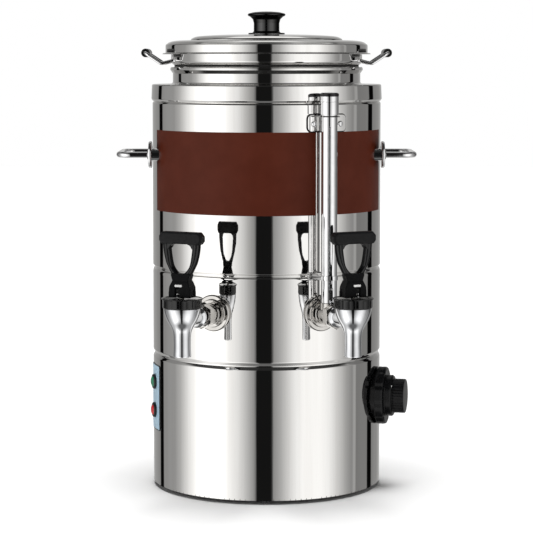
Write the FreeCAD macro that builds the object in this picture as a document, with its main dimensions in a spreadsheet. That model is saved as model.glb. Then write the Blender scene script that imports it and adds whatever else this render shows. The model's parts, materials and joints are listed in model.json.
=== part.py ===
import FreeCAD, Part
import math
import os
import Sketcher
from FreeCAD import Vector as V

# Two-tap milk and hot-water urn.  Millimetres, +Z up, front towards -Y.
# Origin: centre of the footprint on the surface that the urn stands on.

doc = FreeCAD.newDocument("urn")
sheet = doc.addObject("Spreadsheet::Sheet", "dims")

DIMS = [
    # body
    ("body_radius", 115.0), ("wall", 1.0), ("base_lift", 5.2), ("plate_low", 3.7),
    ("joint_height", 135.4), ("joint_depth", 2.0), ("joint_half", 3.2),
    ("swage_height", 221.3), ("swage_depth", 1.7), ("swage_half", 2.9),
    ("collar_seam", 388.0), ("seam_depth", 1.1), ("collar_radius", 115.5),
    ("collar_flare", 0.6), ("collar_top", 404.9),
    ("plate_thick", 1.5), ("foot_radius", 11.0), ("foot_circle", 90.0),
    ("base_screw_circle", 110.6),
    # neck
    ("neck_radius", 95.0), ("neck_waist", 92.6), ("neck_start", 396.0),
    ("neck_step", 415.0), ("bead_radius", 97.1), ("bead_height", 420.6),
    # tank
    ("tank_radius", 103.0), ("tank_floor", 145.0), ("lag_inner", 103.4),
    ("lag_outer", 111.3), ("lag_low", 147.0), ("lag_high", 383.0),
    # milk pot
    ("pot_radius", 91.0), ("pot_rim_radius", 96.3), ("pot_rim_top", 436.4),
    ("pot_shoulder", 423.2), ("pot_bottom", 206.0), ("pot_corner", 8.0),
    ("spigot_radius", 7.0), ("spigot_low", 190.0), ("pot_wall", 1.0),
    ("pot_leg", 30.0), ("pot_grip_reach", 121.6), ("pot_grip_height", 436.4),
    ("pot_wire", 3.3), ("pot_grip_section", 8.7),
    # lid
    ("brim_radius", 105.0), ("lid_radius", 101.8), ("lid_seat", 436.55),
    ("skirt_radius", 94.9), ("skirt_low", 429.0),
    ("lid_centre", 454.6), ("knob_radius", 19.2), ("knob_neck", 12.9),
    ("knob_top", 477.9),
    # label panels
    ("label_low", 280.0), ("label_tall", 80.0), ("label_thick", 0.25),
    ("label_left_from", -71.0), ("label_left_to", 24.3),
    ("label_right_from", 30.6), ("label_right_to", 76.3),
    # carrying handles
    ("carry_height", 334.5), ("carry_rod", 5.7), ("carry_leg", 38.0),
    ("carry_reach", 147.0), ("carry_bend", 12.0), ("carry_root", 99.0),
    ("rosette_radius", 13.4), ("rosette_at", 114.0), ("rosette_thick", 3.0),
    # taps
    ("tap_azimuth", 27.0), ("milk_azimuth", 26.3), ("tap_reach", 178.5), ("shank_height", 185.5),
    ("shank_radius", 8.0), ("shank_bore", 4.5), ("shank_hole", 8.15),
    ("flange_radius", 17.75), ("spout_radius", 17.4), ("spout_waist", 8.3),
    ("spout_low", 151.1), ("spout_high", 197.2), ("spout_bore", 5.5),
    ("thread_radius", 15.5), ("bonnet_radius", 18.5), ("bonnet_rim", 19.6),
    ("bonnet_low", 197.4), ("bonnet_top", 207.0), ("nut_flats", 22.0),
    ("boss_radius", 9.5), ("boss_start", 148.0),
    ("bar_width", 45.5), ("bar_top", 269.0), ("bar_low", 257.3),
    ("bar_deep", 10.0), ("loop_deep", 8.0), ("block_deep", 13.0),
    ("block_low", 207.2), ("block_top", 223.0), ("block_wide", 23.0),
    ("fulcrum", 6.2), ("heel", 1.2), ("stem_radius", 2.0), ("head_radius", 3.6),
    ("head_low", 209.3), ("head_high", 211.4), ("seat_radius", 7.2),
    ("coil_radius", 5.4), ("coil_wire", 0.5), ("coil_low", 180.7),
    ("coil_high", 202.3), ("coil_pitch", 4.32),
    # level gauge
    ("gauge_reach", 132.5), ("guard_radius", 7.9), ("guard_low", 197.6),
    ("guard_high", 377.0), ("guard_wall", 0.9), ("slot_width", 2.0),
    ("glass_radius", 5.0), ("glass_wall", 1.1), ("glass_low", 190.0),
    ("glass_high", 388.0), ("sleeve_radius", 8.95), ("sleeve_high", 394.7),
    ("cap_radius", 9.1), ("cap_top", 398.0), ("tee_radius", 10.5),
    ("tee_top", 197.5), ("tee_stem", 9.0),
    ("bracket_low", 361.0), ("shelf_low", 375.8), ("bracket_half", 10.9),
    ("bracket_azimuth", 30.5), ("bracket_screw", 7.5),
    ("strap_low", 219.0), ("strap_tall", 4.6), ("strap_thick", 0.8),
    # thermostat
    ("stat_azimuth", 77.0), ("stat_height", 92.5), ("bezel_radius", 29.0),
    ("bezel_face", 118.2), ("skirt_face", 124.6), ("step_radius", 20.6),
    ("step_face", 131.3), ("grip_radius", 17.1), ("grip_face", 143.0),
    ("spindle", 3.0),
    # lamps
    ("lamp_azimuth", -76.0), ("panel_low", 58.6), ("panel_tall", 65.8),
    ("panel_half", 9.0), ("panel_thick", 0.6), ("green_height", 106.7),
    ("red_height", 78.0), ("lamp_bezel", 7.6), ("lamp_barrel", 6.0),
    ("lens_radius", 5.4),
    # mains inlet
    ("inlet_height", 46.0), ("inlet_wide", 50.0), ("inlet_tall", 24.0),
    ("inlet_screws", 40.0),
]
for row, (alias, value) in enumerate(DIMS, start=1):
    sheet.set("A%d" % row, alias)
    sheet.set("B%d" % row, repr(value))
    sheet.setAlias("B%d" % row, alias)
doc.recompute()


class Q:
    """A size: its value now, and the sheet expression that gives it."""

    def __init__(self, value, text):
        self.v = float(value)
        self.t = text

    def __add__(self, o):
        o = q(o)
        return Q(self.v + o.v, "(%s + %s)" % (self.t, o.t))

    def __radd__(self, o):
        return q(o) + self

    def __sub__(self, o):
        o = q(o)
        return Q(self.v - o.v, "(%s - %s)" % (self.t, o.t))

    def __rsub__(self, o):
        return q(o) - self

    def __mul__(self, o):
        o = q(o)
        return Q(self.v * o.v, "(%s * %s)" % (self.t, o.t))

    def __rmul__(self, o):
        return q(o) * self

    def __truediv__(self, o):
        o = q(o)
        return Q(self.v / o.v, "(%s / %s)" % (self.t, o.t))

    def __neg__(self):
        return Q(-self.v, "(0 - %s)" % self.t)


def q(x):
    if isinstance(x, Q):
        return x
    return Q(x, "%.6f" % x)


class Dims:
    def __getattr__(self, name):
        return Q(float(sheet.get(name)), "dims.%s" % name)


D = Dims()
Z = V(0, 0, 1)
NODES = []
serial = [0]


def uid(stem):
    serial[0] += 1
    return "%s_%03d" % (stem, serial[0])


def node(obj, name):
    obj.Label = name
    NODES.append((name, obj))
    return obj


def bind(obj, **sizes):
    for prop, size in sizes.items():
        obj.setExpression(prop, q(size).t)
    return obj


def place(obj, x=0.0, y=0.0, z=0.0, rot=None):
    x, y, z = q(x), q(y), q(z)
    obj.Placement = FreeCAD.Placement(V(x.v, y.v, z.v), rot or FreeCAD.Rotation())
    for axis, size in (("x", x), ("y", y), ("z", z)):
        if "dims" in size.t:
            obj.setExpression("Placement.Base." + axis, size.t)
    return obj


def turn(obj, azimuth):
    """Turns a piece built facing the front (-Y) to its azimuth."""
    azimuth = q(azimuth)
    obj.Placement = FreeCAD.Placement(V(0, 0, 0), FreeCAD.Rotation(Z, azimuth.v))
    obj.setExpression("Placement.Rotation.Angle", azimuth.t)
    return obj


OUT = FreeCAD.Rotation(V(1, 0, 0), 90)   # own axis Z to the front, -Y
RIGHT = FreeCAD.Rotation(V(0, 1, 0), 90)  # own axis Z to +X


def tube(radius, length, x=0.0, y=0.0, z=0.0, rot=None, angle=None):
    c = doc.addObject("Part::Cylinder", uid("cyl"))
    bind(c, Radius=radius, Height=length)
    if angle is not None:
        bind(c, Angle=angle)
    return place(c, x, y, z, rot)


def cone(r1, r2, length, x=0.0, y=0.0, z=0.0, rot=None):
    c = doc.addObject("Part::Cone", uid("cone"))
    bind(c, Radius1=r1, Radius2=r2, Height=length)
    return place(c, x, y, z, rot)


def box(lx, ly, lz, x=0.0, y=0.0, z=0.0, rot=None):
    b = doc.addObject("Part::Box", uid("box"))
    bind(b, Length=lx, Width=ly, Height=lz)
    return place(b, x, y, z, rot)


def prism(sides, circum, length, x=0.0, y=0.0, z=0.0, rot=None):
    p = doc.addObject("Part::Prism", uid("prism"))
    p.Polygon = sides
    bind(p, Circumradius=circum, Height=length)
    return place(p, x, y, z, rot)


def cut(base, *tools):
    out = base
    for tool in tools:
        c = doc.addObject("Part::Cut", uid("cut"))
        c.Base = out
        c.Tool = tool
        out = c
    return out


def fuse(*parts):
    if len(parts) == 1:
        return parts[0]
    f = doc.addObject("Part::MultiFuse", uid("fuse"))
    f.Shapes = list(parts)
    return f


def common(a, b):
    c = doc.addObject("Part::Common", uid("common"))
    c.Base = a
    c.Tool = b
    return c


def group(*parts):
    g = doc.addObject("Part::Compound", uid("group"))
    g.Links = list(parts)
    return g


def fillet(base, radius, pick):
    """Rounds the edges of base that pick chooses, by their shape."""
    doc.recompute()
    f = doc.addObject("Part::Fillet", uid("fillet"))
    f.Base = base
    f.Edges = [(i + 1, radius, radius) for i, e in enumerate(base.Shape.Edges) if pick(e)]
    return f


def mid_arc(p1, p2, bulge):
    """Middle point of an arc from p1 to p2 that stands off its chord."""
    m = (p1 + p2) * 0.5
    d = p2 - p1
    n = V(d.y, -d.x, 0)
    n.normalize()
    return m + n * bulge


def profile(body, plane_role, points):
    """Closed sketch through points, each (across, up[, bulge of the next side])."""
    sk = body.newObject("Sketcher::SketchObject", uid("sketch"))
    plane = [f for f in body.Origin.OriginFeatures if f.Role == plane_role][0]
    sk.AttachmentSupport = [(plane, "")]
    sk.MapMode = "FlatFace"
    pts = [(q(p[0]), q(p[1]), p[2] if len(p) > 2 else 0.0) for p in points]
    n = len(pts)
    for i in range(n):
        a, b = pts[i], pts[(i + 1) % n]
        if a[2] > 0 and abs(b[0].v) < 1e-9:
            # a crown that ends on the axis keeps its centre on the axis
            r, h = a[0].v, b[1].v - a[1].v
            big = (r * r + h * h) / (2.0 * h)
            pts[i] = (a[0], a[1], big - math.sqrt(big * big - (r * r + h * h) / 4.0))
    ends = []
    for i in range(n):
        a = V(pts[i][0].v, pts[i][1].v, 0)
        b = V(pts[(i + 1) % n][0].v, pts[(i + 1) % n][1].v, 0)
        if pts[i][2] > 0:
            g = sk.addGeometry(Part.Arc(a, mid_arc(a, b, pts[i][2]), b), False)
            first = 1
        elif pts[i][2] < 0:
            g = sk.addGeometry(Part.Arc(b, mid_arc(a, b, pts[i][2]), a), False)
            first = 2
        else:
            g = sk.addGeometry(Part.LineSegment(a, b), False)
            first = 1
        ends.append((g, first, 3 - first))
    rules, bound = [], []
    for i in range(n):
        g, first, last = ends[i]
        h, nfirst, _ = ends[(i + 1) % n]
        rules.append(Sketcher.Constraint("Coincident", g, last, h, nfirst))
    for i in range(n):
        g, first, _ = ends[i]
        for kind, size, axis in (("DistanceX", pts[i][0], -2), ("DistanceY", pts[i][1], -1)):
            if abs(size.v) < 1e-9 and "dims" not in size.t:
                rules.append(Sketcher.Constraint("PointOnObject", g, first, axis))
            else:
                if "dims" in size.t:
                    bound.append((len(rules), size.t))
                rules.append(Sketcher.Constraint(kind, g, first, size.v))
        if pts[i][2]:
            # the arc's centre keeps its stand-off from the first end
            a, b = pts[i], pts[(i + 1) % n]
            centre = sk.Geometry[g].Center
            if abs(b[0].v) < 1e-9:
                rules.append(Sketcher.Constraint("PointOnObject", g, 3, -2))
                continue
            across = abs(b[1].v - a[1].v) > abs(b[0].v - a[0].v)
            size = a[0] + (centre.x - a[0].v) if across else a[1] + (centre.y - a[1].v)
            if "dims" in size.t:
                bound.append((len(rules), size.t))
            rules.append(Sketcher.Constraint("DistanceX" if across else "DistanceY", g, 3, size.v))
    sk.addConstraint(rules)
    for index, text in bound:
        sk.setExpression("Constraints[%d]" % index, text)
    return sk


def lathe(points, z=0.0, rot=None, y=0.0, x=0.0):
    """Body turned about its own vertical axis; points are (radius, height)."""
    body = doc.addObject("PartDesign::Body", uid("turned"))
    sk = profile(body, "XZ_Plane", points)
    doc.recompute()
    rev = body.newObject("PartDesign::Revolution", uid("revolution"))
    rev.Profile = sk
    rev.ReferenceAxis = (sk, ["V_Axis"])
    rev.Angle = 360
    place(body, x, y, z, rot)
    return body


def slab(points, thick, plane="XZ_Plane", x=0.0, y=0.0, z=0.0, rot=None):
    """Body padded evenly to both sides of one of its origin planes."""
    body = doc.addObject("PartDesign::Body", uid("slab"))
    sk = profile(body, plane, points)
    doc.recompute()
    pad = body.newObject("PartDesign::Pad", uid("pad"))
    pad.Profile = sk
    bind(pad, Length=thick)
    pad.SideType = "Symmetric"
    place(body, x, y, z, rot)
    return body


def bent_rod(points, bends, diameter, closed=False):
    """Round rod along straight runs joined by tangent arcs."""
    edges = []
    pts = [V(*p) for p in points]
    start = pts[0]
    for i in range(1, len(pts) - 1):
        a, b, c = pts[i - 1], pts[i], pts[i + 1]
        u = (a - b).normalize()
        w = (c - b).normalize()
        half = u.getAngle(w) / 2.0
        reach = bends[i - 1] / math.tan(half)
        p1 = b + u * reach
        p2 = b + w * reach
        bis = (u + w).normalize()
        centre = b + bis * (bends[i - 1] / math.sin(half))
        pm = centre - bis * bends[i - 1]
        if (p1 - start).Length > 1e-6:
            edges.append(Part.LineSegment(start, p1).toShape())
        edges.append(Part.Arc(p1, pm, p2).toShape())
        start = p2
    edges.append(Part.LineSegment(start, pts[-1]).toShape())
    wire = Part.Wire(edges)
    way = (pts[1] - pts[0]).normalize()
    ring = Part.Wire(Part.Circle(pts[0], way, diameter / 2.0).toShape())
    solid = wire.makePipeShell([ring], True, True)
    f = doc.addObject("Part::Feature", uid("rod"))
    f.Shape = solid
    f.Placement = FreeCAD.Placement()
    return f


def both_sides(points):
    """Outline from its right half, the sides keeping their bulges."""
    right = [p if len(p) == 3 else tuple(p) + (0.0,) for p in points]
    left = []
    for i in range(len(right) - 1, -1, -1):
        left.append((-q(right[i][0]), right[i][1], right[i - 1][2] if i else 0.0))
    return right + left


def s_curve(r1, z1, r2, z2, first, last):
    """Two equal tangent arcs of a rolled-in ring, convex at the wall."""
    h = abs(z2.v - z1.v)
    d = abs(r2.v - r1.v)
    rad = (h * h + d * d) / (4.0 * d)
    chord = math.hypot(h, d) / 2.0
    sag = rad - math.sqrt(rad * rad - chord * chord / 4.0)
    return [(r1, z1, first * sag), ((r1 + r2) / 2.0, (z1 + z2) / 2.0, last * sag)]


# ---------------------------------------------------------------- body shells
R = D.body_radius
t = D.wall

jz, jd, jh = D.joint_height, D.joint_depth, D.joint_half
housing_shell = lathe(
    [(R - 7.0, D.base_lift), (R - 0.3, D.base_lift, 0.09), (R, D.base_lift + 0.3)]
    + s_curve(R, jz - jh, R - jd, jz, 1, -1)
    + [(R - jd, jz), (R - jd - 1.0, jz), (R - jd - 1.0, jz - 0.8),
       (R - t, jz - jh - 0.9), (R - t, D.base_lift + 1.0), (R - 7.0, D.base_lift + 1.0)])

sz, sd, sh = D.swage_height, D.swage_depth, D.swage_half
cz, cd = D.collar_seam, D.seam_depth
jacket_shell = lathe(
    [(R - jd - 1.0, jz)]
    + s_curve(R - jd, jz, R, jz + jh, -1, 1)
    + [(R, jz + jh)]
    + s_curve(R, sz - sh, R - sd, sz, 1, -1)
    + s_curve(R - sd, sz, R, sz + sh, -1, 1)
    + [(R, sz + sh)]
    + s_curve(R, cz - 2.4, R - cd, cz, 1, -1)
    + [(R - cd, cz), (R - cd - 1.0, cz), (R - t, cz - 3.2), (R - t, sz + sh + 0.9),
       (R - sd - 1.0, sz + 0.8), (R - sd - 1.0, sz - 0.8), (R - t, sz - sh - 0.9),
       (R - t, jz + jh + 0.9), (R - jd - 1.0, jz + 0.8)])

C = D.collar_radius
collar = lathe(
    [(R - cd - 1.0, cz)]
    + s_curve(R - cd, cz, C + D.collar_flare, cz + 2.2, -1, 1)
    + [(C + D.collar_flare, cz + 2.2), (C, D.collar_top - 1.5, 0.44),
       (C - 1.5, D.collar_top), (D.neck_radius, D.collar_top),
       (D.neck_radius, D.collar_top - 1.0), (C - 2.0, D.collar_top - 1.0, -0.3),
       (C - 1.0, D.collar_top - 2.0), (C + D.collar_flare - 1.0, cz + 2.9)])
node(collar, "top_collar")

nr, nw, br, bh = D.neck_radius, D.neck_waist, D.bead_radius, D.bead_height
neck = lathe(
    [(nr, D.neck_start), (nr, D.neck_step), (nr - 0.2, D.neck_step + 0.7), (nw, D.neck_step + 1.4),
     (nw, D.neck_step + 1.9), (br - 0.4, bh - 0.9, 0.1), (br, bh - 0.5), (br, bh + 0.5, 0.12),
     (br - 0.6, bh + 0.9), (br - 2.5, bh + 1.8), (br - 3.5, bh + 2.4, 0.25), (br - 4.7, bh + 1.8),
     (nw - 0.9, D.neck_step + 2.3), (nw - 1.0, D.neck_step + 1.0), (nr - 1.0, D.neck_step - 0.4),
     (nr - 1.0, D.neck_start)])
node(neck, "neck_ring")

# base plate with its holes, feet pushed through it, screws into the hem
foot_spots = [(math.cos(math.radians(a)), math.sin(math.radians(a))) for a in (45, 135, 225, 315)]
screw_spots = [(math.cos(math.radians(a)), math.sin(math.radians(a))) for a in (0, 90, 180, 270)]
plate_z = D.plate_low
base_plate = tube(R, D.plate_thick, z=plate_z)
foot_holes = [tube(3.3, 4.0, D.foot_circle * c, D.foot_circle * s, plate_z - 1.0) for c, s in foot_spots]
screw_holes = [tube(2.1, 8.0, D.base_screw_circle * c, D.base_screw_circle * s, 0.5) for c, s in screw_spots]
vents = [tube(3.0, 4.0, 30.0 * c, 30.0 * s, plate_z - 1.0) for c, s in foot_spots]
base_plate = cut(base_plate, *(foot_holes + screw_holes + vents))
node(base_plate, "base_plate")

feet = []
for c, s in foot_spots:
    feet.append(lathe(
        [(0.0, 0.0), (D.foot_radius - 1.0, 0.0, 0.29), (D.foot_radius, 1.0), (D.foot_radius - 0.6, plate_z),
         (3.1, plate_z), (3.1, plate_z + D.plate_thick), (5.2, plate_z + D.plate_thick),
         (4.0, plate_z + D.plate_thick + 3.0), (0.0, plate_z + D.plate_thick + 3.0)],
        x=D.foot_circle * c, y=D.foot_circle * s))
node(group(*feet), "rubber_feet")

base_screws = []
for c, s in screw_spots:
    base_screws.append(lathe(
        [(0.0, 1.5), (2.4, 1.5, 0.5), (3.6, 2.7), (3.6, plate_z), (2.0, plate_z),
         (2.0, 9.5), (0.0, 9.5)],
        x=D.base_screw_circle * c, y=D.base_screw_circle * s))
node(group(*base_screws), "base_screws")

# ------------------------------------------------------------------ side data
az = D.tap_azimuth
maz = -D.milk_azimuth
taps = (("milk", maz), ("water", az))


def radial_tube(radius, start, length, height, azimuth, side=0.0):
    """Cylinder along a radial line, held in a frame that turns with azimuth."""
    c = tube(radius, length, side, -q(start), height, OUT)
    return turn(group(c), azimuth)


def nut(flats, length, hole, start, height, azimuth, side=0.0):
    p = prism(6, q(flats) / math.sqrt(3.0), length, side, -q(start), height, OUT)
    h = tube(hole, q(length) + 2.0, side, -q(start) + 1.0, height, OUT)
    return turn(cut(p, h), azimuth)


stat, lamp = D.stat_azimuth, D.lamp_azimuth
wall_holes = [radial_tube(D.shank_hole, 95.0, 25.0, D.shank_height, a) for _, a in taps]
tank_holes = [radial_tube(D.shank_hole, 95.0, 12.0, D.shank_height, a) for _, a in taps]
lag_holes = [radial_tube(D.shank_radius + 1.5, 98.0, 18.0, D.shank_height, a) for _, a in taps]

carry_holes = []
carry_pockets = []
for sx in (1, -1):
    for sy in (1, -1):
        rot = RIGHT if sx > 0 else FreeCAD.Rotation(V(0, 1, 0), -90)
        carry_holes.append(tube(D.carry_rod / 2.0 + 0.1, 20.0, sx * 98.0, D.carry_leg * sy, D.carry_height, rot))
        carry_pockets.append(tube(7.5, 25.0, sx * 90.0, D.carry_leg * sy, D.carry_height, rot))

bracket_az = [D.bracket_azimuth - D.bracket_screw, D.bracket_azimuth + D.bracket_screw]
bracket_holes = [radial_tube(1.6, 108.0, 12.0, 368.5, a) for a in bracket_az]

jacket = cut(jacket_shell, *(wall_holes + carry_holes + bracket_holes))
node(jacket, "outer_jacket")

stat_hole = radial_tube(5.5, 104.0, 18.0, D.stat_height, stat)
lamp_holes = [radial_tube(D.lamp_barrel + 0.1, 104.0, 18.0, h, lamp) for h in (D.green_height, D.red_height)]
inlet_hole = box(28.0, 20.0, 20.6, -14.0, 104.0, D.inlet_height - 10.3)
inlet_screw_holes = [tube(1.6, 12.0, s * D.inlet_screws / 2.0, 106.0 + 12.0, D.inlet_height, OUT) for s in (1, -1)]
housing_screw_holes = [tube(2.1, 5.0, D.base_screw_circle * c, D.base_screw_circle * s, 3.0) for c, s in screw_spots]
housing = cut(housing_shell, stat_hole, *(lamp_holes + [inlet_hole] + inlet_screw_holes + housing_screw_holes))
node(housing, "base_housing")

# ------------------------------------------------------------------ tank, lagging
T = D.tank_radius
tank_shell = lathe(
    [(0.0, D.tank_floor), (T, D.tank_floor), (T, D.neck_start), (nr - 1.0, D.neck_start),
     (nr - 1.0, D.neck_start - 1.0), (T - 1.0, D.neck_start - 1.0), (T - 1.0, D.tank_floor + 1.2),
     (0.0, D.tank_floor + 1.2)])
element_legs = [(-16.0, 62.0), (16.0, 62.0)]
floor_holes = [tube(4.1, 5.0, x, y, D.tank_floor - 2.0) for x, y in element_legs]
bulb_x = 80.0 * math.sin(math.radians(stat.v))
bulb_y = -80.0 * math.cos(math.radians(stat.v))
floor_holes.append(tube(3.1, 5.0, bulb_x, bulb_y, D.tank_floor - 2.0))
tank = cut(tank_shell, *(tank_holes + floor_holes))
node(tank, "water_tank")

lag = cut(tube(D.lag_outer, D.lag_high - D.lag_low, z=D.lag_low),
          tube(D.lag_inner, 400.0, z=100.0), *(lag_holes + carry_pockets))
lag_bracket = [radial_tube(3.0, 106.0, 8.0, 368.5, a) for a in bracket_az]
node(cut(lag, *lag_bracket), "insulation_sleeve")

# ------------------------------------------------------------------ label panels
for name, a1, a2 in (("label_panel_left", D.label_left_from, D.label_left_to),
                     ("label_panel_right", D.label_right_from, D.label_right_to)):
    sheet_piece = tube(R + D.label_thick, D.label_tall, z=D.label_low, angle=a2 - a1)
    inner = tube(R, D.label_tall + 2.0, z=D.label_low - 1.0)
    panel = cut(sheet_piece, inner)
    turn(panel, a1 - 90.0)
    side = 1 if name.endswith("right") else -1
    # the panel is cut away round the front root of the carrying handle
    root_hole = tube(7.2, 40.0, side * 85.0, -D.carry_leg, D.carry_height,
                     RIGHT if side > 0 else FreeCAD.Rotation(V(0, 1, 0), -90))
    node(cut(panel, root_hole), name)

# ------------------------------------------------------------------ carrying handles
rod = D.carry_rod.v
for name, sx in (("side_handle_right", 1), ("side_handle_left", -1)):
    reach, leg, root, hz = D.carry_reach.v * sx, D.carry_leg.v, D.carry_root.v * sx, D.carry_height.v
    bar = bent_rod([(root, -leg, hz), (reach, -leg, hz), (reach, leg, hz), (root, leg, hz)],
                   [D.carry_bend.v, D.carry_bend.v], rod)
    node(bar, name)

rosettes = []
carry_nuts = []
for sx in (1, -1):
    rot = RIGHT if sx > 0 else FreeCAD.Rotation(V(0, 1, 0), -90)
    for sy in (1, -1):
        disc = lathe(
            [(D.carry_rod / 2.0, 100.0), (6.5, 100.0), (6.5, D.rosette_at),
             (D.rosette_radius - 0.8, D.rosette_at, 0.23), (D.rosette_radius, D.rosette_at + 0.8),
             (D.rosette_radius, D.rosette_at + D.rosette_thick - 1.0, 0.3),
             (D.rosette_radius - 1.2, D.rosette_at + D.rosette_thick),
             (D.carry_rod / 2.0, D.rosette_at + D.rosette_thick)],
            y=D.carry_leg * sy, z=D.carry_height, rot=rot)
        rosettes.append(cut(disc, tube(R, 40.0, z=D.carry_height - 20.0)))
        p = prism(6, 5.6, 3.6, sx * 100.2, D.carry_leg * sy, D.carry_height, rot)
        carry_nuts.append(cut(p, tube(D.carry_rod / 2.0, 12.0, sx * 96.0, D.carry_leg * sy, D.carry_height, rot)))
node(group(*rosettes), "side_handle_rosettes")
node(group(*carry_nuts), "side_handle_nuts")

# ------------------------------------------------------------------ taps
H = D.shank_height
flanges = []
for _, a in taps:
    fl = lathe(
        [(D.shank_radius, 108.0), (D.flange_radius, 108.0), (D.flange_radius, 117.0, 0.35),
         (D.flange_radius - 1.2, 118.2), (D.flange_radius - 4.0, 118.2, -0.3),
         (13.2, 119.0), (13.2, 120.4, 0.25), (12.4, 121.2), (D.shank_radius, 121.2)],
        z=H, rot=OUT)
    flanges.append(turn(group(cut(fl, tube(R, 60.0, z=H - 30.0))), a))
node(group(*flanges), "tap_wall_flanges")

# plain shank of the milk tap, with its collar
shank = lathe(
    [(D.shank_bore, 95.0), (D.shank_radius, 95.0), (D.shank_radius, 121.2), (D.tee_radius, 121.2),
     (D.tee_radius, 130.6, 0.3), (D.tee_radius - 1.0, 131.6), (D.shank_radius, 131.6),
     (D.shank_radius, 158.0), (D.shank_bore, 158.0)],
    z=H, rot=OUT)
node(turn(group(shank), maz), "milk_tap_shank")

# shank of the water tap, with the branch that carries the level gauge
outer = lathe(
    [(0.0, 95.0), (D.shank_radius, 95.0), (D.shank_radius, 121.2), (D.tee_radius, 121.2),
     (D.tee_radius, 136.6, 0.3), (D.tee_radius - 1.0, 137.6), (D.shank_radius, 137.6),
     (D.shank_radius, 158.0), (0.0, 158.0)],
    z=H, rot=OUT)
branch = tube(D.tee_stem, D.tee_top - H, 0.0, -D.gauge_reach, H)
bore = tube(D.shank_bore, 70.0, 0.0, -90.0, H, OUT)
well = tube(D.glass_radius, 12.0, 0.0, -D.gauge_reach, D.glass_low)
feed = tube(D.glass_radius - D.glass_wall, 12.0, 0.0, -D.gauge_reach, H)
# flat on the branch, which clears the coupling nut
flat = cut(tube(13.2, 12.0, 0.0, -138.0, H, OUT), tube(D.shank_radius, 16.0, 0.0, -136.0, H, OUT))
node(turn(cut(fuse(outer, branch), bore, well, feed, flat), az), "water_tap_shank")

node(group(*[nut(D.nut_flats, 4.6, D.shank_radius, 95.8, H, a) for _, a in taps]), "tap_shank_nuts")
node(group(nut(D.nut_flats, 9.6, D.shank_radius, 133.0, H, maz),
           nut(D.nut_flats, 9.6, D.shank_radius, 138.2, H, az)), "tap_coupling_nuts")

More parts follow.
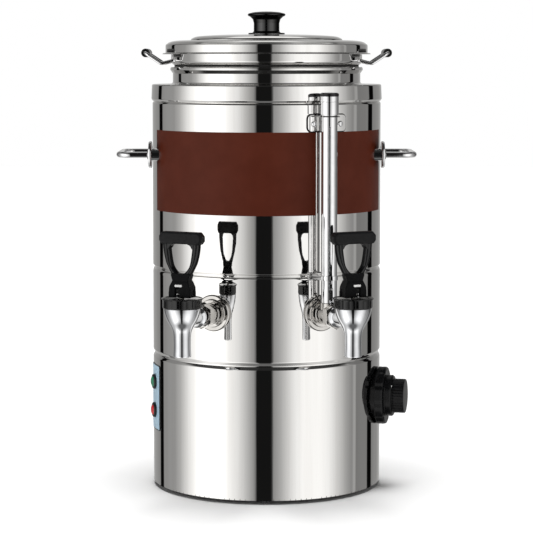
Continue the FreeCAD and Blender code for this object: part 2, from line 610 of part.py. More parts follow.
for which, a in taps:
    y0 = -D.tap_reach
    spout = lathe(
        [(0.0, D.spout_low), (D.spout_waist - 0.2, D.spout_low, 0.1), (D.spout_waist + 0.2, D.spout_low + 0.9),
         (D.spout_waist - 0.2, D.spout_low + 9.0), (D.spout_waist, D.spout_low + 21.0, -0.55),
         (11.6, 179.4, 0.85), (D.spout_radius, 195.6), (D.spout_radius, D.spout_high),
         (D.thread_radius, D.spout_high), (D.thread_radius, 202.8), (0.0, 202.8)],
        y=y0)
    boss = lathe(
        [(0.0, D.boss_start), (D.boss_radius - 0.5, D.boss_start), (D.boss_radius + 0.8, D.boss_start + 0.8),
         (D.boss_radius + 0.8, D.boss_start + 3.2), (D.boss_radius - 1.2, D.boss_start + 4.6),
         (D.boss_radius - 1.2, 172.0), (0.0, 172.0)],
        z=H, rot=OUT)
    hollow = lathe(
        [(0.0, 150.0), (D.spout_bore + 0.8, 150.0), (D.spout_bore, D.spout_low + 1.2), (D.spout_bore, 175.0),
         (8.6, 176.4), (9.2, 178.4), (12.6, 185.5), (13.8, 190.0), (13.8, 204.0), (0.0, 204.0)],
        y=y0)
    socket = tube(D.shank_radius, 158.0 - D.boss_start + 1.0, 0.0, -D.boss_start + 1.0, H, OUT)
    inlet = tube(D.shank_bore, 14.0, 0.0, -157.0, H, OUT)
    body = cut(fuse(spout, boss), hollow, socket, inlet)
    node(turn(body, a), which + "_tap_body")

    ring = lathe(
        [(D.thread_radius, D.bonnet_low), (D.bonnet_radius - 0.6, D.bonnet_low, 0.18),
         (D.bonnet_radius, D.bonnet_low + 0.6), (D.bonnet_radius, 205.2), (D.bonnet_rim, 205.6),
         (D.bonnet_rim, D.bonnet_top - 0.5, 0.15), (D.bonnet_rim - 0.5, D.bonnet_top),
         (D.stem_radius + 0.3, D.bonnet_top), (D.stem_radius + 0.3, 203.0), (D.thread_radius, 203.0)],
        y=y0)
    # eight grooves between broad scallops; one stands 17 degrees towards the other tap
    first = 17.0 if which == "milk" else -17.0
    flutes = [tube(1.1, 6.9, 19.2 * math.sin(math.radians(first + b)),
                   -D.tap_reach - 19.2 * math.cos(math.radians(first + b)), 198.3) for b in range(0, 360, 45)]
    node(turn(cut(ring, *flutes), a), which + "_tap_bonnet")

    plunger = lathe(
        [(0.0, 175.4), (4.6, 175.4), (5.0, 176.8), (D.seat_radius, 177.0), (D.seat_radius, 179.6),
         (D.seat_radius - 0.6, 180.2), (D.stem_radius, 180.2), (D.stem_radius, D.head_low),
         (D.head_radius, D.head_low), (D.head_radius, D.head_high - 0.4),
         (D.head_radius - 0.4, D.head_high), (0.0, D.head_high)],
        y=y0)
    node(turn(group(plunger), a), which + "_tap_plunger")

    # closed-loop handle: bar, two legs, neck, block on the bonnet
    bw = D.bar_width / 2.0
    loop = slab(both_sides(
        [(8.4, 223.0), (9.4, 226.0), (10.7, 229.6), (13.8, 235.5), (16.0, 239.8, 0.15), (18.5, 249.2), (19.0, D.bar_low - 2.6),
         (19.8, D.bar_low), (bw - 1.5, D.bar_low, 0.5), (bw, D.bar_low + 2.1), (bw, D.bar_top - 3.8, 0.85),
         (bw - 2.8, D.bar_top)]), D.loop_deep, y=y0)
    opening = slab(both_sides(
        [(1.6, 229.8, 0.25), (4.2, 231.1), (8.0, 235.5), (9.6, 239.8, 0.1), (11.1, 249.2), (11.7, 254.6, 0.45),
         (10.4, 256.1)]), 20.0, y=y0)
    bar = box(D.bar_width - 6.0, D.bar_deep, D.bar_top - D.bar_low - 3.0,
              -(D.bar_width / 2.0) + 3.0, -D.tap_reach - D.bar_deep / 2.0, D.bar_low + 1.5)
    blk = slab([(8.6, 223.2), (10.6, 219.0), (D.block_wide / 2.0, D.block_low),
                (-(D.block_wide / 2.0), D.block_low), (-10.6, 219.0), (-8.6, 223.2)],
               D.block_deep, y=-D.tap_reach - D.fulcrum + D.block_deep / 2.0)
    # rounded heel at the foot of the block: the handle rocks about its axis
    blk = fillet(blk, D.heel.v, lambda e: abs(e.Length - D.block_wide.v) < 0.05 and e.CenterOfMass.y < -184.0)
    grown = fuse(cut(loop, opening), bar, blk)
    rear = -D.tap_reach - D.stem_radius - 0.7
    gate = box(5.4, 14.0, 3.4, -2.7, rear, D.block_low - 1.0)
    room = box(8.8, 14.0, 7.0, -4.4, -D.tap_reach - D.head_radius - 1.2, D.block_low + 1.6)
    node(turn(cut(grown, gate, room), a), which + "_tap_handle")

    helix = doc.addObject("Part::Helix", uid("helix"))
    bind(helix, Pitch=D.coil_pitch, Height=D.coil_high - D.coil_low, Radius=D.coil_radius)
    doc.recompute()
    path = Part.Wire(helix.Shape.Edges)
    start = path.Edges[0].valueAt(path.Edges[0].FirstParameter)
    way = path.Edges[0].tangentAt(path.Edges[0].FirstParameter)
    wire_ring = Part.Wire(Part.Circle(start, way, D.coil_wire.v).toShape())
    coil_shape = path.makePipeShell([wire_ring], True, True)
    coil_shape.translate(V(0, -D.tap_reach.v, D.coil_low.v))
    coil = doc.addObject("Part::Feature", uid("coil"))
    coil.Shape = coil_shape
    node(turn(group(coil), a), which + "_tap_spring")

# ------------------------------------------------------------------ level gauge
gy = -D.gauge_reach
guard = cut(tube(D.guard_radius, D.guard_high - D.guard_low, 0.0, gy, D.guard_low),
            tube(D.guard_radius - D.guard_wall, 220.0, 0.0, gy, D.guard_low - 5.0))
sight = box(D.slot_width, 20.0, 158.0, -(D.slot_width / 2.0), -20.0, 0.0)
sight = group(sight)
sight.Placement = FreeCAD.Placement(V(0, gy.v, 208.0), FreeCAD.Rotation(Z, -az.v))
node(turn(cut(guard, sight), az), "gauge_guard_tube")

node(turn(cut(tube(D.glass_radius, D.glass_high - D.glass_low, 0.0, gy, D.glass_low),
              tube(D.glass_radius - D.glass_wall, 260.0, 0.0, gy, 150.0)), az), "gauge_glass")

sleeve = lathe(
    [(D.glass_radius, D.guard_high), (D.sleeve_radius, D.guard_high), (D.sleeve_radius, D.sleeve_high),
     (D.sleeve_radius - 1.0, D.sleeve_high), (D.sleeve_radius - 1.0, 388.4), (D.glass_radius, 388.4)],
    y=gy)
node(turn(group(sleeve), az), "gauge_top_sleeve")

cap = lathe(
    [(0.0, 390.0), (D.sleeve_radius - 1.0, 390.0), (D.sleeve_radius - 1.0, D.sleeve_high),
     (D.cap_radius, D.sleeve_high), (D.cap_radius, D.cap_top - 1.4, 0.35), (D.cap_radius - 1.6, D.cap_top, 0.06),
     (0.0, D.cap_top + 0.5)],
    y=gy)
node(turn(group(cap), az), "gauge_cap")

# wall bracket: curved plate with a shelf that the tube passes through
plate = tube(R + 1.2, D.guard_high - D.bracket_low, z=D.bracket_low, angle=D.bracket_half * 2.0)
plate = cut(plate, tube(R, 60.0, z=D.bracket_low - 10.0))
turn(plate, D.bracket_azimuth - az - 90.0 - D.bracket_half)
plate = fillet(group(plate), 4.0,
               lambda e: abs(e.Length - 1.2) < 0.05)
shelf = fuse(box(21.0, D.gauge_reach - 108.0, D.guard_high - D.shelf_low, -10.5, gy, D.shelf_low),
             tube(10.5, D.guard_high - D.shelf_low, 0.0, gy, D.shelf_low))
bracket = cut(fuse(plate, shelf), tube(R, 60.0, z=D.bracket_low - 10.0),
              tube(D.guard_radius, 20.0, 0.0, gy, D.shelf_low - 5.0))
bracket = cut(bracket, *[turn(group(tube(1.6, 20.0, 0.0, -104.0, 368.5, OUT)), a - az) for a in bracket_az])
node(turn(bracket, az), "gauge_bracket")

node(group(*[turn(group(lathe(
    [(0.0, 109.0), (1.5, 109.0), (1.5, R + 1.2), (2.9, R + 1.2), (2.9, R + 2.2, 0.3), (1.6, R + 3.0), (0.0, R + 3.0)],
    z=368.5, rot=OUT)), a) for a in bracket_az]), "gauge_bracket_screws")

# strap around the tube at the ring groove
sw = D.guard_radius + D.strap_thick
strap = fuse(tube(sw, D.strap_tall, 0.0, gy, D.strap_low),
             box(sw * 2.0, D.gauge_reach - 108.0, D.strap_tall, -sw, gy, D.strap_low))
strap = cut(strap, tube(D.guard_radius, 20.0, 0.0, gy, D.strap_low - 8.0),
            box(D.guard_radius * 2.0, 40.0, 20.0, -D.guard_radius, gy, D.strap_low - 8.0),
            tube(R, 40.0, z=D.strap_low - 20.0))
node(turn(strap, az), "gauge_strap")

# ------------------------------------------------------------------ thermostat
sh_ = D.stat_height
bezel = lathe(
    [(4.2, 100.0), (D.bezel_radius, 100.0), (D.bezel_radius, D.bezel_face - 0.8, 0.23),
     (D.bezel_radius - 0.8, D.bezel_face), (4.2, D.bezel_face)],
    z=sh_, rot=OUT)
node(turn(cut(bezel, tube(R, 80.0, z=sh_ - 40.0)), stat), "thermostat_bezel")

dial = lathe(
    [(0.0, D.bezel_face + 0.4), (D.bezel_radius, D.bezel_face + 0.4), (D.bezel_radius, D.skirt_face - 2.2, 0.6),
     (D.bezel_radius - 2.4, D.skirt_face), (D.step_radius + 0.4, D.skirt_face), (D.step_radius, D.skirt_face + 0.4),
     (D.step_radius, D.step_face - 1.4, 0.4), (D.step_radius - 1.6, D.step_face), (D.grip_radius, D.step_face),
     (D.grip_radius, D.grip_face - 1.0, 0.3), (D.grip_radius - 1.0, D.grip_face, 0.12), (0.0, D.grip_face + 0.6)],
    z=sh_, rot=OUT)
scallops = [tube(7.0, 10.0, 35.2 * math.cos(math.radians(b)), -D.bezel_face + 0.0,
                 D.stat_height + 35.2 * math.sin(math.radians(b)), OUT) for b in range(9, 369, 36)]
dial = cut(dial, *scallops)
spindle = tube(D.spindle, 20.0, 0.0, -D.bezel_face + 8.4, sh_, OUT)
node(turn(fuse(dial, spindle), stat), "thermostat_knob")

stat_case = cut(box(38.0, 27.0, 38.0, -19.0, -111.5, sh_ - 19.0),
                tube(D.spindle + 0.15, 6.0, 0.0, -106.0, sh_, OUT))
node(turn(stat_case, stat), "thermostat_body")

cap_tube = tube(1.2, D.tank_floor - 8.0 - (sh_ + 19.0), bulb_x, bulb_y, sh_ + 19.0)
gland = prism(6, 6.0, 8.0, bulb_x, bulb_y, D.tank_floor - 8.0)
bulb = tube(3.0, 56.0, bulb_x, bulb_y, D.tank_floor)
node(fuse(cap_tube, gland, bulb), "thermostat_bulb")

# ------------------------------------------------------------------ lamps
panel = tube(R + D.panel_thick, D.panel_tall, z=D.panel_low, angle=D.panel_half * 2.0)
panel = cut(panel, tube(R, 120.0, z=D.panel_low - 20.0))
turn(panel, -90.0 - D.panel_half)
panel = fillet(group(panel), 4.0, lambda e: abs(e.Length - D.panel_thick.v) < 0.03)
panel = cut(panel, *[tube(D.lamp_barrel, 20.0, 0.0, -104.0, h, OUT) for h in (D.green_height, D.red_height)])
node(turn(panel, lamp), "lamp_panel")

rims = []
for name, h in (("green_lamp", D.green_height), ("red_lamp", D.red_height)):
    rim = lathe(
        [(D.lens_radius, 94.0), (D.lamp_barrel, 94.0), (D.lamp_barrel, R - 2.0), (D.lamp_bezel, R - 2.0),
         (D.lamp_bezel, R + 2.3, 0.35), (D.lamp_bezel - 1.1, R + 3.3), (D.lens_radius, R + 3.0)],
        z=h, rot=OUT)
    collar_cut = cut(tube(R + D.panel_thick, 40.0, z=h - 20.0), tube(D.lamp_barrel, 60.0, 0.0, -90.0, h, OUT))
    rims.append(turn(cut(rim, collar_cut), lamp))
    lens = lathe(
        [(0.0, 110.0), (D.lens_radius, 110.0), (D.lens_radius, R + 2.9, 0.75), (2.6, R + 4.7, 0.15), (0.0, R + 5.0)],
        z=h, rot=OUT)
    node(turn(group(lens), lamp), name)
node(group(*rims), "lamp_bezels")

# ------------------------------------------------------------------ heating parts
fz = D.tank_floor.v
element = bent_rod(
    [(-16.0, 62.0, 128.0), (-16.0, 62.0, fz + 16.0), (-52.0, 34.0, fz + 16.0), (-62.0, -10.0, fz + 16.0),
     (-36.0, -52.0, fz + 16.0), (0.0, -64.0, fz + 16.0), (36.0, -52.0, fz + 16.0), (62.0, -10.0, fz + 16.0),
     (52.0, 34.0, fz + 16.0), (16.0, 62.0, fz + 16.0), (16.0, 62.0, 128.0)],
    [9.0, 22.0, 26.0, 26.0, 26.0, 26.0, 26.0, 22.0, 9.0], 8.0)
node(element, "heating_element")
node(group(*[cut(prism(6, 8.0, 6.0, x, y, D.tank_floor - 6.0), tube(4.0, 12.0, x, y, D.tank_floor - 9.0))
             for x, y in element_legs]), "heating_element_nuts")

cutout = fuse(tube(12.0, 6.0, 0.0, 0.0, D.tank_floor - 6.0), box(5.0, 22.0, 5.0, -2.5, -11.0, D.tank_floor - 11.0))
node(cutout, "safety_cutout")

block = cut(box(56.0, 22.0, 16.0, -28.0, 22.0, plate_z + D.plate_thick),
            *[tube(2.6, 8.0, x, 33.0, plate_z + D.plate_thick + 10.0) for x in (-21.0, -7.0, 7.0, 21.0)])
node(block, "terminal_block")

# milk receiver: cup for the pot's spigot, pipe to the tap, post on the tank floor
cup = fuse(tube(11.5, 26.0, 0.0, 0.0, 178.0), tube(4.0, 178.0 - fz - 1.2, 0.0, 0.0, fz + 1.2),
           tube(5.6, 95.0, 0.0, 0.0, H, OUT))
cup = cut(cup, tube(9.6, 26.0, 0.0, 0.0, 180.0), tube(3.9, 97.0, 0.0, 0.0, H, OUT))
node(turn(cup, maz), "milk_receiver")

# ------------------------------------------------------------------ mains inlet
ih = D.inlet_height
flange_plate = box(D.inlet_wide, 9.0, D.inlet_tall, -(D.inlet_wide / 2.0), 108.5, ih - D.inlet_tall / 2.0)
flange_plate = fillet(flange_plate, 3.0, lambda e: abs(e.Length - 9.0) < 1e-3)
flange_plate = cut(flange_plate, tube(R, 60.0, z=ih - 30.0))
case = box(27.4, 34.0, 20.0, -13.7, 82.0, ih - 10.0)
hollow_box = fillet(box(24.0, 18.0, 16.0, -12.0, 100.5, ih - 8.0), 2.5, lambda e: abs(e.Length - 18.0) < 1e-3)
pins = [box(4.0, 15.0, 2.0, x - 2.0, 99.5, ih + dz - 1.0) for x, dz in ((-7.0, -2.0), (0.0, 2.0), (7.0, -2.0))]
inlet_body = cut(fuse(flange_plate, case), hollow_box,
                 *[tube(1.6, 14.0, s * D.inlet_screws / 2.0, 120.0, ih, OUT) for s in (1, -1)])
node(fuse(inlet_body, *pins), "mains_inlet")
node(group(*[lathe(
    [(0.0, -10.0), (1.5, -10.0), (1.5, 0.0), (2.8, 0.0), (2.8, 0.8, 0.25), (1.6, 1.7), (0.0, 1.7)],
    x=s * D.inlet_screws / 2.0, y=117.5, z=ih, rot=FreeCAD.Rotation(V(1, 0, 0), -90)) for s in (1, -1)]),
    "mains_inlet_screws")

# ------------------------------------------------------------------ milk pot
P, W = D.pot_radius, D.pot_wall
S = D.pot_shoulder
pc = D.pot_corner
pot = lathe(
    [(D.spigot_radius - 2.0, D.spigot_low), (D.spigot_radius, D.spigot_low), (D.spigot_radius, D.pot_bottom),
     (P - pc, D.pot_bottom, 2.34), (P, D.pot_bottom + pc), (P, S + 0.1), (D.pot_rim_radius - 3.9, S + 0.1, 1.14),
     (D.pot_rim_radius, S + 4.0), (D.pot_rim_radius, D.pot_rim_top), (D.pot_rim_radius - W, D.pot_rim_top),
     (D.pot_rim_radius - W, S + 4.0, -0.85), (D.pot_rim_radius - 3.9, S + 1.1), (P - W, S + 1.1),
     (P - W, D.pot_bottom + pc, -2.05),
     (P - pc, D.pot_bottom + W), (D.spigot_radius - 2.0, D.pot_bottom + W)])
node(pot, "milk_pot")

seal = doc.addObject("Part::Torus", uid("seal"))
bind(seal, Radius1=D.spigot_radius + 1.25, Radius2=1.25)
place(seal, z=197.0)
node(group(seal), "spigot_seal")

reach, hgt, leg = D.pot_grip_reach.v, D.pot_grip_height.v, D.pot_leg.v
wd = D.pot_wire.v
grips = []
for name, sx in (("pot_handle_right", 1), ("pot_handle_left", -1)):
    wire = bent_rod([(sx * 91.0, -leg, 428.9), (sx * 104.9, -leg, 425.6), (sx * reach, -leg, hgt),
                     (sx * reach, leg, hgt), (sx * 104.9, leg, 425.6), (sx * 91.0, leg, 428.9)],
                    [4.0, 4.5, 4.5, 4.0], wd)
    lugs = []
    for sy in (1, -1):
        lug = box(5.0, 7.0, 4.6, sx * 91.6 - 2.5, sy * leg - 3.5, 426.2)
        lugs.append(cut(lug, tube(D.pot_rim_radius, 60.0, z=400.0)))
    node(fuse(cut(wire, tube(D.pot_rim_radius, 60.0, z=400.0)), *lugs), name)
    rot = FreeCAD.Rotation(V(1, 0, 0), 90)
    g = tube(D.pot_grip_section / 2.0, 44.0, sx * reach, 22.0, hgt, rot)
    g = fillet(g, 1.2, lambda e: True and abs(e.Length - math.pi * D.pot_grip_section.v) < 0.01)
    grips.append(cut(g, tube(wd / 2.0, 60.0, sx * reach, 30.0, hgt, rot)))
node(group(*grips), "pot_handle_grips")

# ------------------------------------------------------------------ lid
L = D.lid_seat
B, LR, K = D.brim_radius, D.lid_radius, D.skirt_radius
lc = D.lid_centre
lid = lathe(
    [(K - 1.0, D.skirt_low), (K, D.skirt_low), (K, L), (97.6, L), (B - 0.7, L - 1.0), (B, L - 0.75), (B, L - 0.4),
     (B - 0.5, L + 0.1), (LR + 0.6, L + 0.55, -0.15), (LR, L + 1.2), (LR, 444.3, 0.276), (LR - 1.03, 446.17, 0.775),
     (90.17, 449.21), (78.0, 449.3), (77.6, 449.5), (76.6, 450.9), (75.0, 451.8), (72.5, 452.2), (60.0, 453.1),
     (40.0, lc - 0.5), (20.0, lc), (3.1, lc), (3.1, lc - 1.0), (20.0, lc - 1.0), (40.0, lc - 1.5), (59.9, 452.1),
     (72.3, 451.2), (74.5, 450.85), (75.8, 450.1), (76.8, 448.7), (77.8, 448.3), (90.17, 448.21, -0.735),
     (LR - 1.56, 445.32, -0.15), (LR - 1.0, 444.3), (LR - 1.0, L + 1.1), (K - 1.0, L + 0.3)])
node(lid, "lid")

kz = lc + 0.8
fixing = lathe([(0.0, lc - 3.2), (3.2, lc - 3.2), (4.2, lc - 2.2), (4.2, lc - 1.0), (3.1, lc - 1.0), (3.1, lc),
                (18.0, lc), (18.3, lc + 0.4), (18.0, kz), (2.5, kz), (2.5, kz + 6.2), (0.0, kz + 6.2)])
node(fixing, "lid_knob_fixing")

knob = lathe(
    [(0.0, kz + 6.2), (2.5, kz + 6.2), (2.5, kz), (18.2, kz), (18.5, kz + 0.4), (18.2, kz + 0.9),
     (13.6, kz + 1.2, -0.2), (D.knob_neck, kz + 2.2), (D.knob_neck, 466.6, -0.25), (14.2, 470.4, -0.15),
     (16.8, 472.6), (18.5, 473.6, 0.15), (D.knob_radius, 474.6, 0.3), (18.3, 476.0, 0.2), (13.0, 477.2, 0.2),
     (0.0, D.knob_top)])
node(knob, "lid_knob")

# ------------------------------------------------------------------ check, write
doc.recompute()
bad = []
for o in doc.Objects:
    if any(s in ("Invalid", "Error") for s in o.State):
        parent = o.getParentGeoFeatureGroup()
        bad.append((o.Label, parent.Label if parent else "", o.solve() if o.isDerivedFrom("Sketcher::SketchObject") else 0))
if bad:
    raise RuntimeError("failed objects: %s" % bad)
os.makedirs("parts", exist_ok=True)
for name, obj in NODES:
    s = obj.Shape
    if s.isNull() or not s.isValid() or not s.Solids:
        raise RuntimeError("bad shape: " + name)
    if s.Volume <= 0:
        raise RuntimeError("no volume: " + name)
names = [n for n, _ in NODES]
if len(set(names)) != len(names) or len(names) > 60:
    raise RuntimeError("names: %d" % len(names))
for name, obj in NODES:
    obj.Shape.exportStep("parts/%s.step" % name)
    b = obj.Shape.BoundBox
    print("%-22s solids %d  volume %9.1f  x %.1f..%.1f  y %.1f..%.1f  z %.1f..%.1f" % (
        name, len(obj.Shape.Solids), obj.Shape.Volume, b.XMin, b.XMax, b.YMin, b.YMax, b.ZMin, b.ZMax))
print(len(NODES), "nodes")
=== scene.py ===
import bpy, bmesh, json, math
from mathutils import Matrix, Vector


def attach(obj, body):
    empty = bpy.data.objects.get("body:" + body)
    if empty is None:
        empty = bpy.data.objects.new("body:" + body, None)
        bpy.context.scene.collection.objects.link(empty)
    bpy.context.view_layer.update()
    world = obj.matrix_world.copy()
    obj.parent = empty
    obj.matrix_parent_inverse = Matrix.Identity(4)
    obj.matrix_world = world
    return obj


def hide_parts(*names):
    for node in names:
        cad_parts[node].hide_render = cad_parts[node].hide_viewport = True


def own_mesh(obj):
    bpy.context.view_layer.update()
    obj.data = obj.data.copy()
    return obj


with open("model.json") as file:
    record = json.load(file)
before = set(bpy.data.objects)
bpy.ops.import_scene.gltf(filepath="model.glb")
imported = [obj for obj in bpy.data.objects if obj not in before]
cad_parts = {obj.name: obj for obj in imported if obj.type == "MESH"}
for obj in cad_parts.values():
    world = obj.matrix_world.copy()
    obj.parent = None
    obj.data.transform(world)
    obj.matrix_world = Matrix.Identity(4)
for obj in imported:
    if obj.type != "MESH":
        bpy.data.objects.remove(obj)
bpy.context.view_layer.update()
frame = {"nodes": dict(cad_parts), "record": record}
NODES = frame["nodes"]
MM = 0.001
TAU = 2 * math.pi

# ------------------------------------------------------------------ node graphs


def new_material(name):
    m = bpy.data.materials.new(name)
    m.use_nodes = True
    nt = m.node_tree
    nt.nodes.clear()
    out = nt.nodes.new("ShaderNodeOutputMaterial")
    b = nt.nodes.new("ShaderNodeBsdfPrincipled")
    nt.links.new(b.outputs["BSDF"], out.inputs["Surface"])
    return m, nt, b


def noise(nt, scale, detail=3.0, rough=0.55, stretch=(1, 1, 1), seed=0.0):
    tc = nt.nodes.new("ShaderNodeTexCoord")
    mp = nt.nodes.new("ShaderNodeMapping")
    mp.inputs["Scale"].default_value = stretch
    mp.inputs["Location"].default_value = (seed, seed * 0.7, seed * 1.3)
    n = nt.nodes.new("ShaderNodeTexNoise")
    n.inputs["Scale"].default_value = scale
    n.inputs["Detail"].default_value = detail
    n.inputs["Roughness"].default_value = rough
    nt.links.new(tc.outputs["Object"], mp.inputs["Vector"])
    nt.links.new(mp.outputs["Vector"], n.inputs["Vector"])
    return n.outputs["Fac"]


def spread(nt, fac, low, high, a=0.3, b=0.7):
    r = nt.nodes.new("ShaderNodeMapRange")
    r.inputs["From Min"].default_value = a
    r.inputs["From Max"].default_value = b
    r.inputs["To Min"].default_value = low
    r.inputs["To Max"].default_value = high
    nt.links.new(fac, r.inputs["Value"])
    return r.outputs["Result"]


def two_tone(nt, fac, c1, c2, a=0.35, b=0.65):
    r = nt.nodes.new("ShaderNodeValToRGB")
    r.color_ramp.elements[0].position = a
    r.color_ramp.elements[0].color = (*c1, 1)
    r.color_ramp.elements[1].position = b
    r.color_ramp.elements[1].color = (*c2, 1)
    nt.links.new(fac, r.inputs["Fac"])
    return r.outputs["Color"]


def bump(nt, shader, height, strength, distance=0.001):
    n = nt.nodes.new("ShaderNodeBump")
    n.inputs["Strength"].default_value = strength
    n.inputs["Distance"].default_value = distance
    nt.links.new(height, n.inputs["Height"])
    nt.links.new(n.outputs["Normal"], shader.inputs["Normal"])


def metal(name, c1, c2, r1, r2, grain=(1, 1, 1), scale=60.0, bumps=0.0, bscale=900.0):
    m, nt, b = new_material(name)
    b.inputs["Metallic"].default_value = 1.0
    f = noise(nt, scale, 4.0, 0.6, grain)
    nt.links.new(two_tone(nt, f, c1, c2), b.inputs["Base Color"])
    g = noise(nt, scale * 3.1, 3.0, 0.5, grain, 3.0)
    nt.links.new(spread(nt, g, r1, r2), b.inputs["Roughness"])
    if bumps:
        bump(nt, b, noise(nt, bscale, 2.0, 0.5, grain, 7.0), bumps)
    return m


def plastic(name, c1, c2, r1, r2, scale=300.0, bumps=0.03, bscale=2500.0, spec=0.5, coat=0.0, flank=None):
    m, nt, b = new_material(name)
    f = noise(nt, scale, 3.0)
    nt.links.new(two_tone(nt, f, c1, c2), b.inputs["Base Color"])
    g = noise(nt, scale * 0.4, 4.0, 0.6, (1, 1, 1), 5.0)
    nt.links.new(spread(nt, g, r1, r2), b.inputs["Roughness"])
    b.inputs["Specular IOR Level"].default_value = spec
    if flank is not None:
        lw = nt.nodes.new("ShaderNodeLayerWeight")
        lw.inputs["Blend"].default_value = 0.5
        nt.links.new(spread(nt, lw.outputs["Facing"], spec, flank, 0.10, 0.42), b.inputs["Specular IOR Level"])
    if coat:
        b.inputs["Coat Weight"].default_value = coat
        b.inputs["Coat Roughness"].default_value = 0.12
    if bumps:
        bump(nt, b, noise(nt, bscale, 2.0, 0.5, (1, 1, 1), 9.0), bumps, 0.0002)
    return m


MAT = {}
# mirror-polished steel: faint upright polishing lines and slight clouding
MAT["mirror"] = metal("mirror_steel", (0.80, 0.79, 0.775), (0.86, 0.855, 0.845), 0.015, 0.036,
                      (1, 1, 0.03), 90.0, 0.006, 700.0)
MAT["ring"] = metal("turned_steel", (0.74, 0.725, 0.70), (0.82, 0.81, 0.79), 0.03, 0.07,
                    (1, 1, 6), 70.0, 0.02, 900.0)
MAT["chrome"] = metal("chrome_fittings", (0.80, 0.80, 0.81), (0.86, 0.86, 0.87), 0.02, 0.05,
                      (1, 1, 1), 120.0, 0.008, 600.0)
MAT["satin"] = metal("plain_steel", (0.55, 0.55, 0.55), (0.68, 0.68, 0.67), 0.22, 0.36,
                     (1, 1, 12), 60.0, 0.05, 500.0)
# near-black colour for the screws under the base, so the shaded gap under the base stays dark: painted shade
MAT["oxide"] = metal("screws_dark_as_shade", (0.035, 0.035, 0.038), (0.06, 0.06, 0.063), 0.38, 0.52,
                     (1, 1, 1), 200.0, 0.03, 1500.0)
MAT["zinc"] = metal("zinc_plate", (0.42, 0.42, 0.43), (0.60, 0.60, 0.60), 0.25, 0.42,
                    (1, 1, 1), 160.0, 0.06, 700.0)
MAT["brass"] = metal("machined_brass", (0.55, 0.38, 0.13), (0.68, 0.50, 0.20), 0.18, 0.30,
                     (1, 1, 8), 90.0, 0.03, 600.0)
MAT["film"] = plastic("brown_film", (0.086, 0.0155, 0.0065), (0.098, 0.0190, 0.0088), 0.38, 0.46,
                      45.0, 0.02, 1800.0, 0.10)
MAT["black"] = plastic("black_moulding", (0.0030, 0.0031, 0.0034), (0.0055, 0.0056, 0.0060), 0.24, 0.36,
                       220.0, 0.05, 1600.0, 0.25)
MAT["handle"] = plastic("black_handle_moulding", (0.0025, 0.0026, 0.0029), (0.0045, 0.0047, 0.0052), 0.18, 0.26,
                        220.0, 0.03, 1400.0, 0.42, 0.0, 0.02)
MAT["knob"] = plastic("black_knob_moulding", (0.0025, 0.0026, 0.0029), (0.0045, 0.0047, 0.0052), 0.17, 0.25,
                      300.0, 0.04, 1600.0, 0.24, 0.0, 0.06)
MAT["foot"] = plastic("black_dull_moulding", (0.0025, 0.0026, 0.0029), (0.0048, 0.0050, 0.0055), 0.30, 0.42,
                      500.0, 0.08, 1800.0, 0.06)
MAT["cap"] = plastic("black_cap_moulding", (0.0018, 0.0018, 0.0019), (0.0032, 0.0032, 0.0034), 0.10, 0.16,
                     220.0, 0.02, 1200.0, 0.50, 0.0, 0.30)
MAT["spout"] = metal("chrome_spouts", (0.64, 0.65, 0.67), (0.71, 0.72, 0.74), 0.02, 0.05,
                     (1, 1, 1), 100.0, 0.01, 600.0)
MAT["fitting"] = metal("turned_fittings", (0.50, 0.485, 0.465), (0.60, 0.585, 0.565), 0.04, 0.09,
                       (1, 1, 1), 120.0, 0.015, 700.0)
MAT["bar"] = plastic("black_grained_moulding", (0.0040, 0.0042, 0.0047), (0.0085, 0.0088, 0.0095), 0.34, 0.50,
                     700.0, 0.16, 1900.0, 0.17)
MAT["shine"] = plastic("black_polished_moulding", (0.0015, 0.0015, 0.0016), (0.0028, 0.0028, 0.0030), 0.10, 0.14,
                       220.0, 0.01, 1200.0, 1.0, 0.0, 0.02)
MAT["paint"] = plastic("black_coated_steel", (0.0025, 0.0025, 0.0027), (0.0045, 0.0045, 0.0047), 0.40, 0.55,
                       260.0, 0.05, 1500.0, 0.2)
MAT["gloss"] = plastic("black_gloss_moulding", (0.0025, 0.0025, 0.0027), (0.0045, 0.0045, 0.0048), 0.12, 0.20,
                       220.0, 0.02, 1200.0, 0.4)
MAT["grip"] = plastic("black_sleeve", (0.003, 0.003, 0.003), (0.006, 0.006, 0.006), 0.22, 0.32,
                      260.0, 0.05, 1500.0, 0.5)
MAT["mark"] = plastic("white_mark", (0.80, 0.80, 0.79), (0.88, 0.88, 0.87), 0.35, 0.45, 200.0, 0.0)
MAT["blue"] = plastic("pale_blue_plate", (0.40, 0.58, 0.72), (0.47, 0.65, 0.78), 0.30, 0.42, 80.0, 0.02)
MAT["edge"] = plastic("dark_edge", (0.010, 0.011, 0.013), (0.016, 0.017, 0.019), 0.3, 0.4, 200.0, 0.0)
MAT["rubber"] = plastic("black_rubber", (0.014, 0.014, 0.014), (0.024, 0.024, 0.023), 0.65, 0.80,
                        120.0, 0.12, 1200.0, 0.3)
MAT["ceramic"] = plastic("white_ceramic", (0.66, 0.65, 0.60), (0.76, 0.75, 0.70), 0.35, 0.5, 90.0, 0.05, 900.0)
MAT["seal"] = plastic("silicone", (0.46, 0.45, 0.41), (0.56, 0.55, 0.50), 0.45, 0.6, 120.0, 0.03)
MAT["lagging"] = plastic("glass_wool", (0.62, 0.58, 0.46), (0.78, 0.75, 0.64), 0.85, 0.95, 400.0, 0.5, 900.0, 0.2)


def lens_material(name, dark, bright):
    m, nt, b = new_material(name)
    f = noise(nt, 150.0, 2.0)
    nt.links.new(two_tone(nt, f, dark, bright), b.inputs["Base Color"])
    g = noise(nt, 300.0, 2.0, 0.5, (1, 1, 1), 2.0)
    nt.links.new(spread(nt, g, 0.06, 0.12), b.inputs["Roughness"])
    b.inputs["Coat Weight"].default_value = 0.6
    b.inputs["Coat Roughness"].default_value = 0.05
    return m


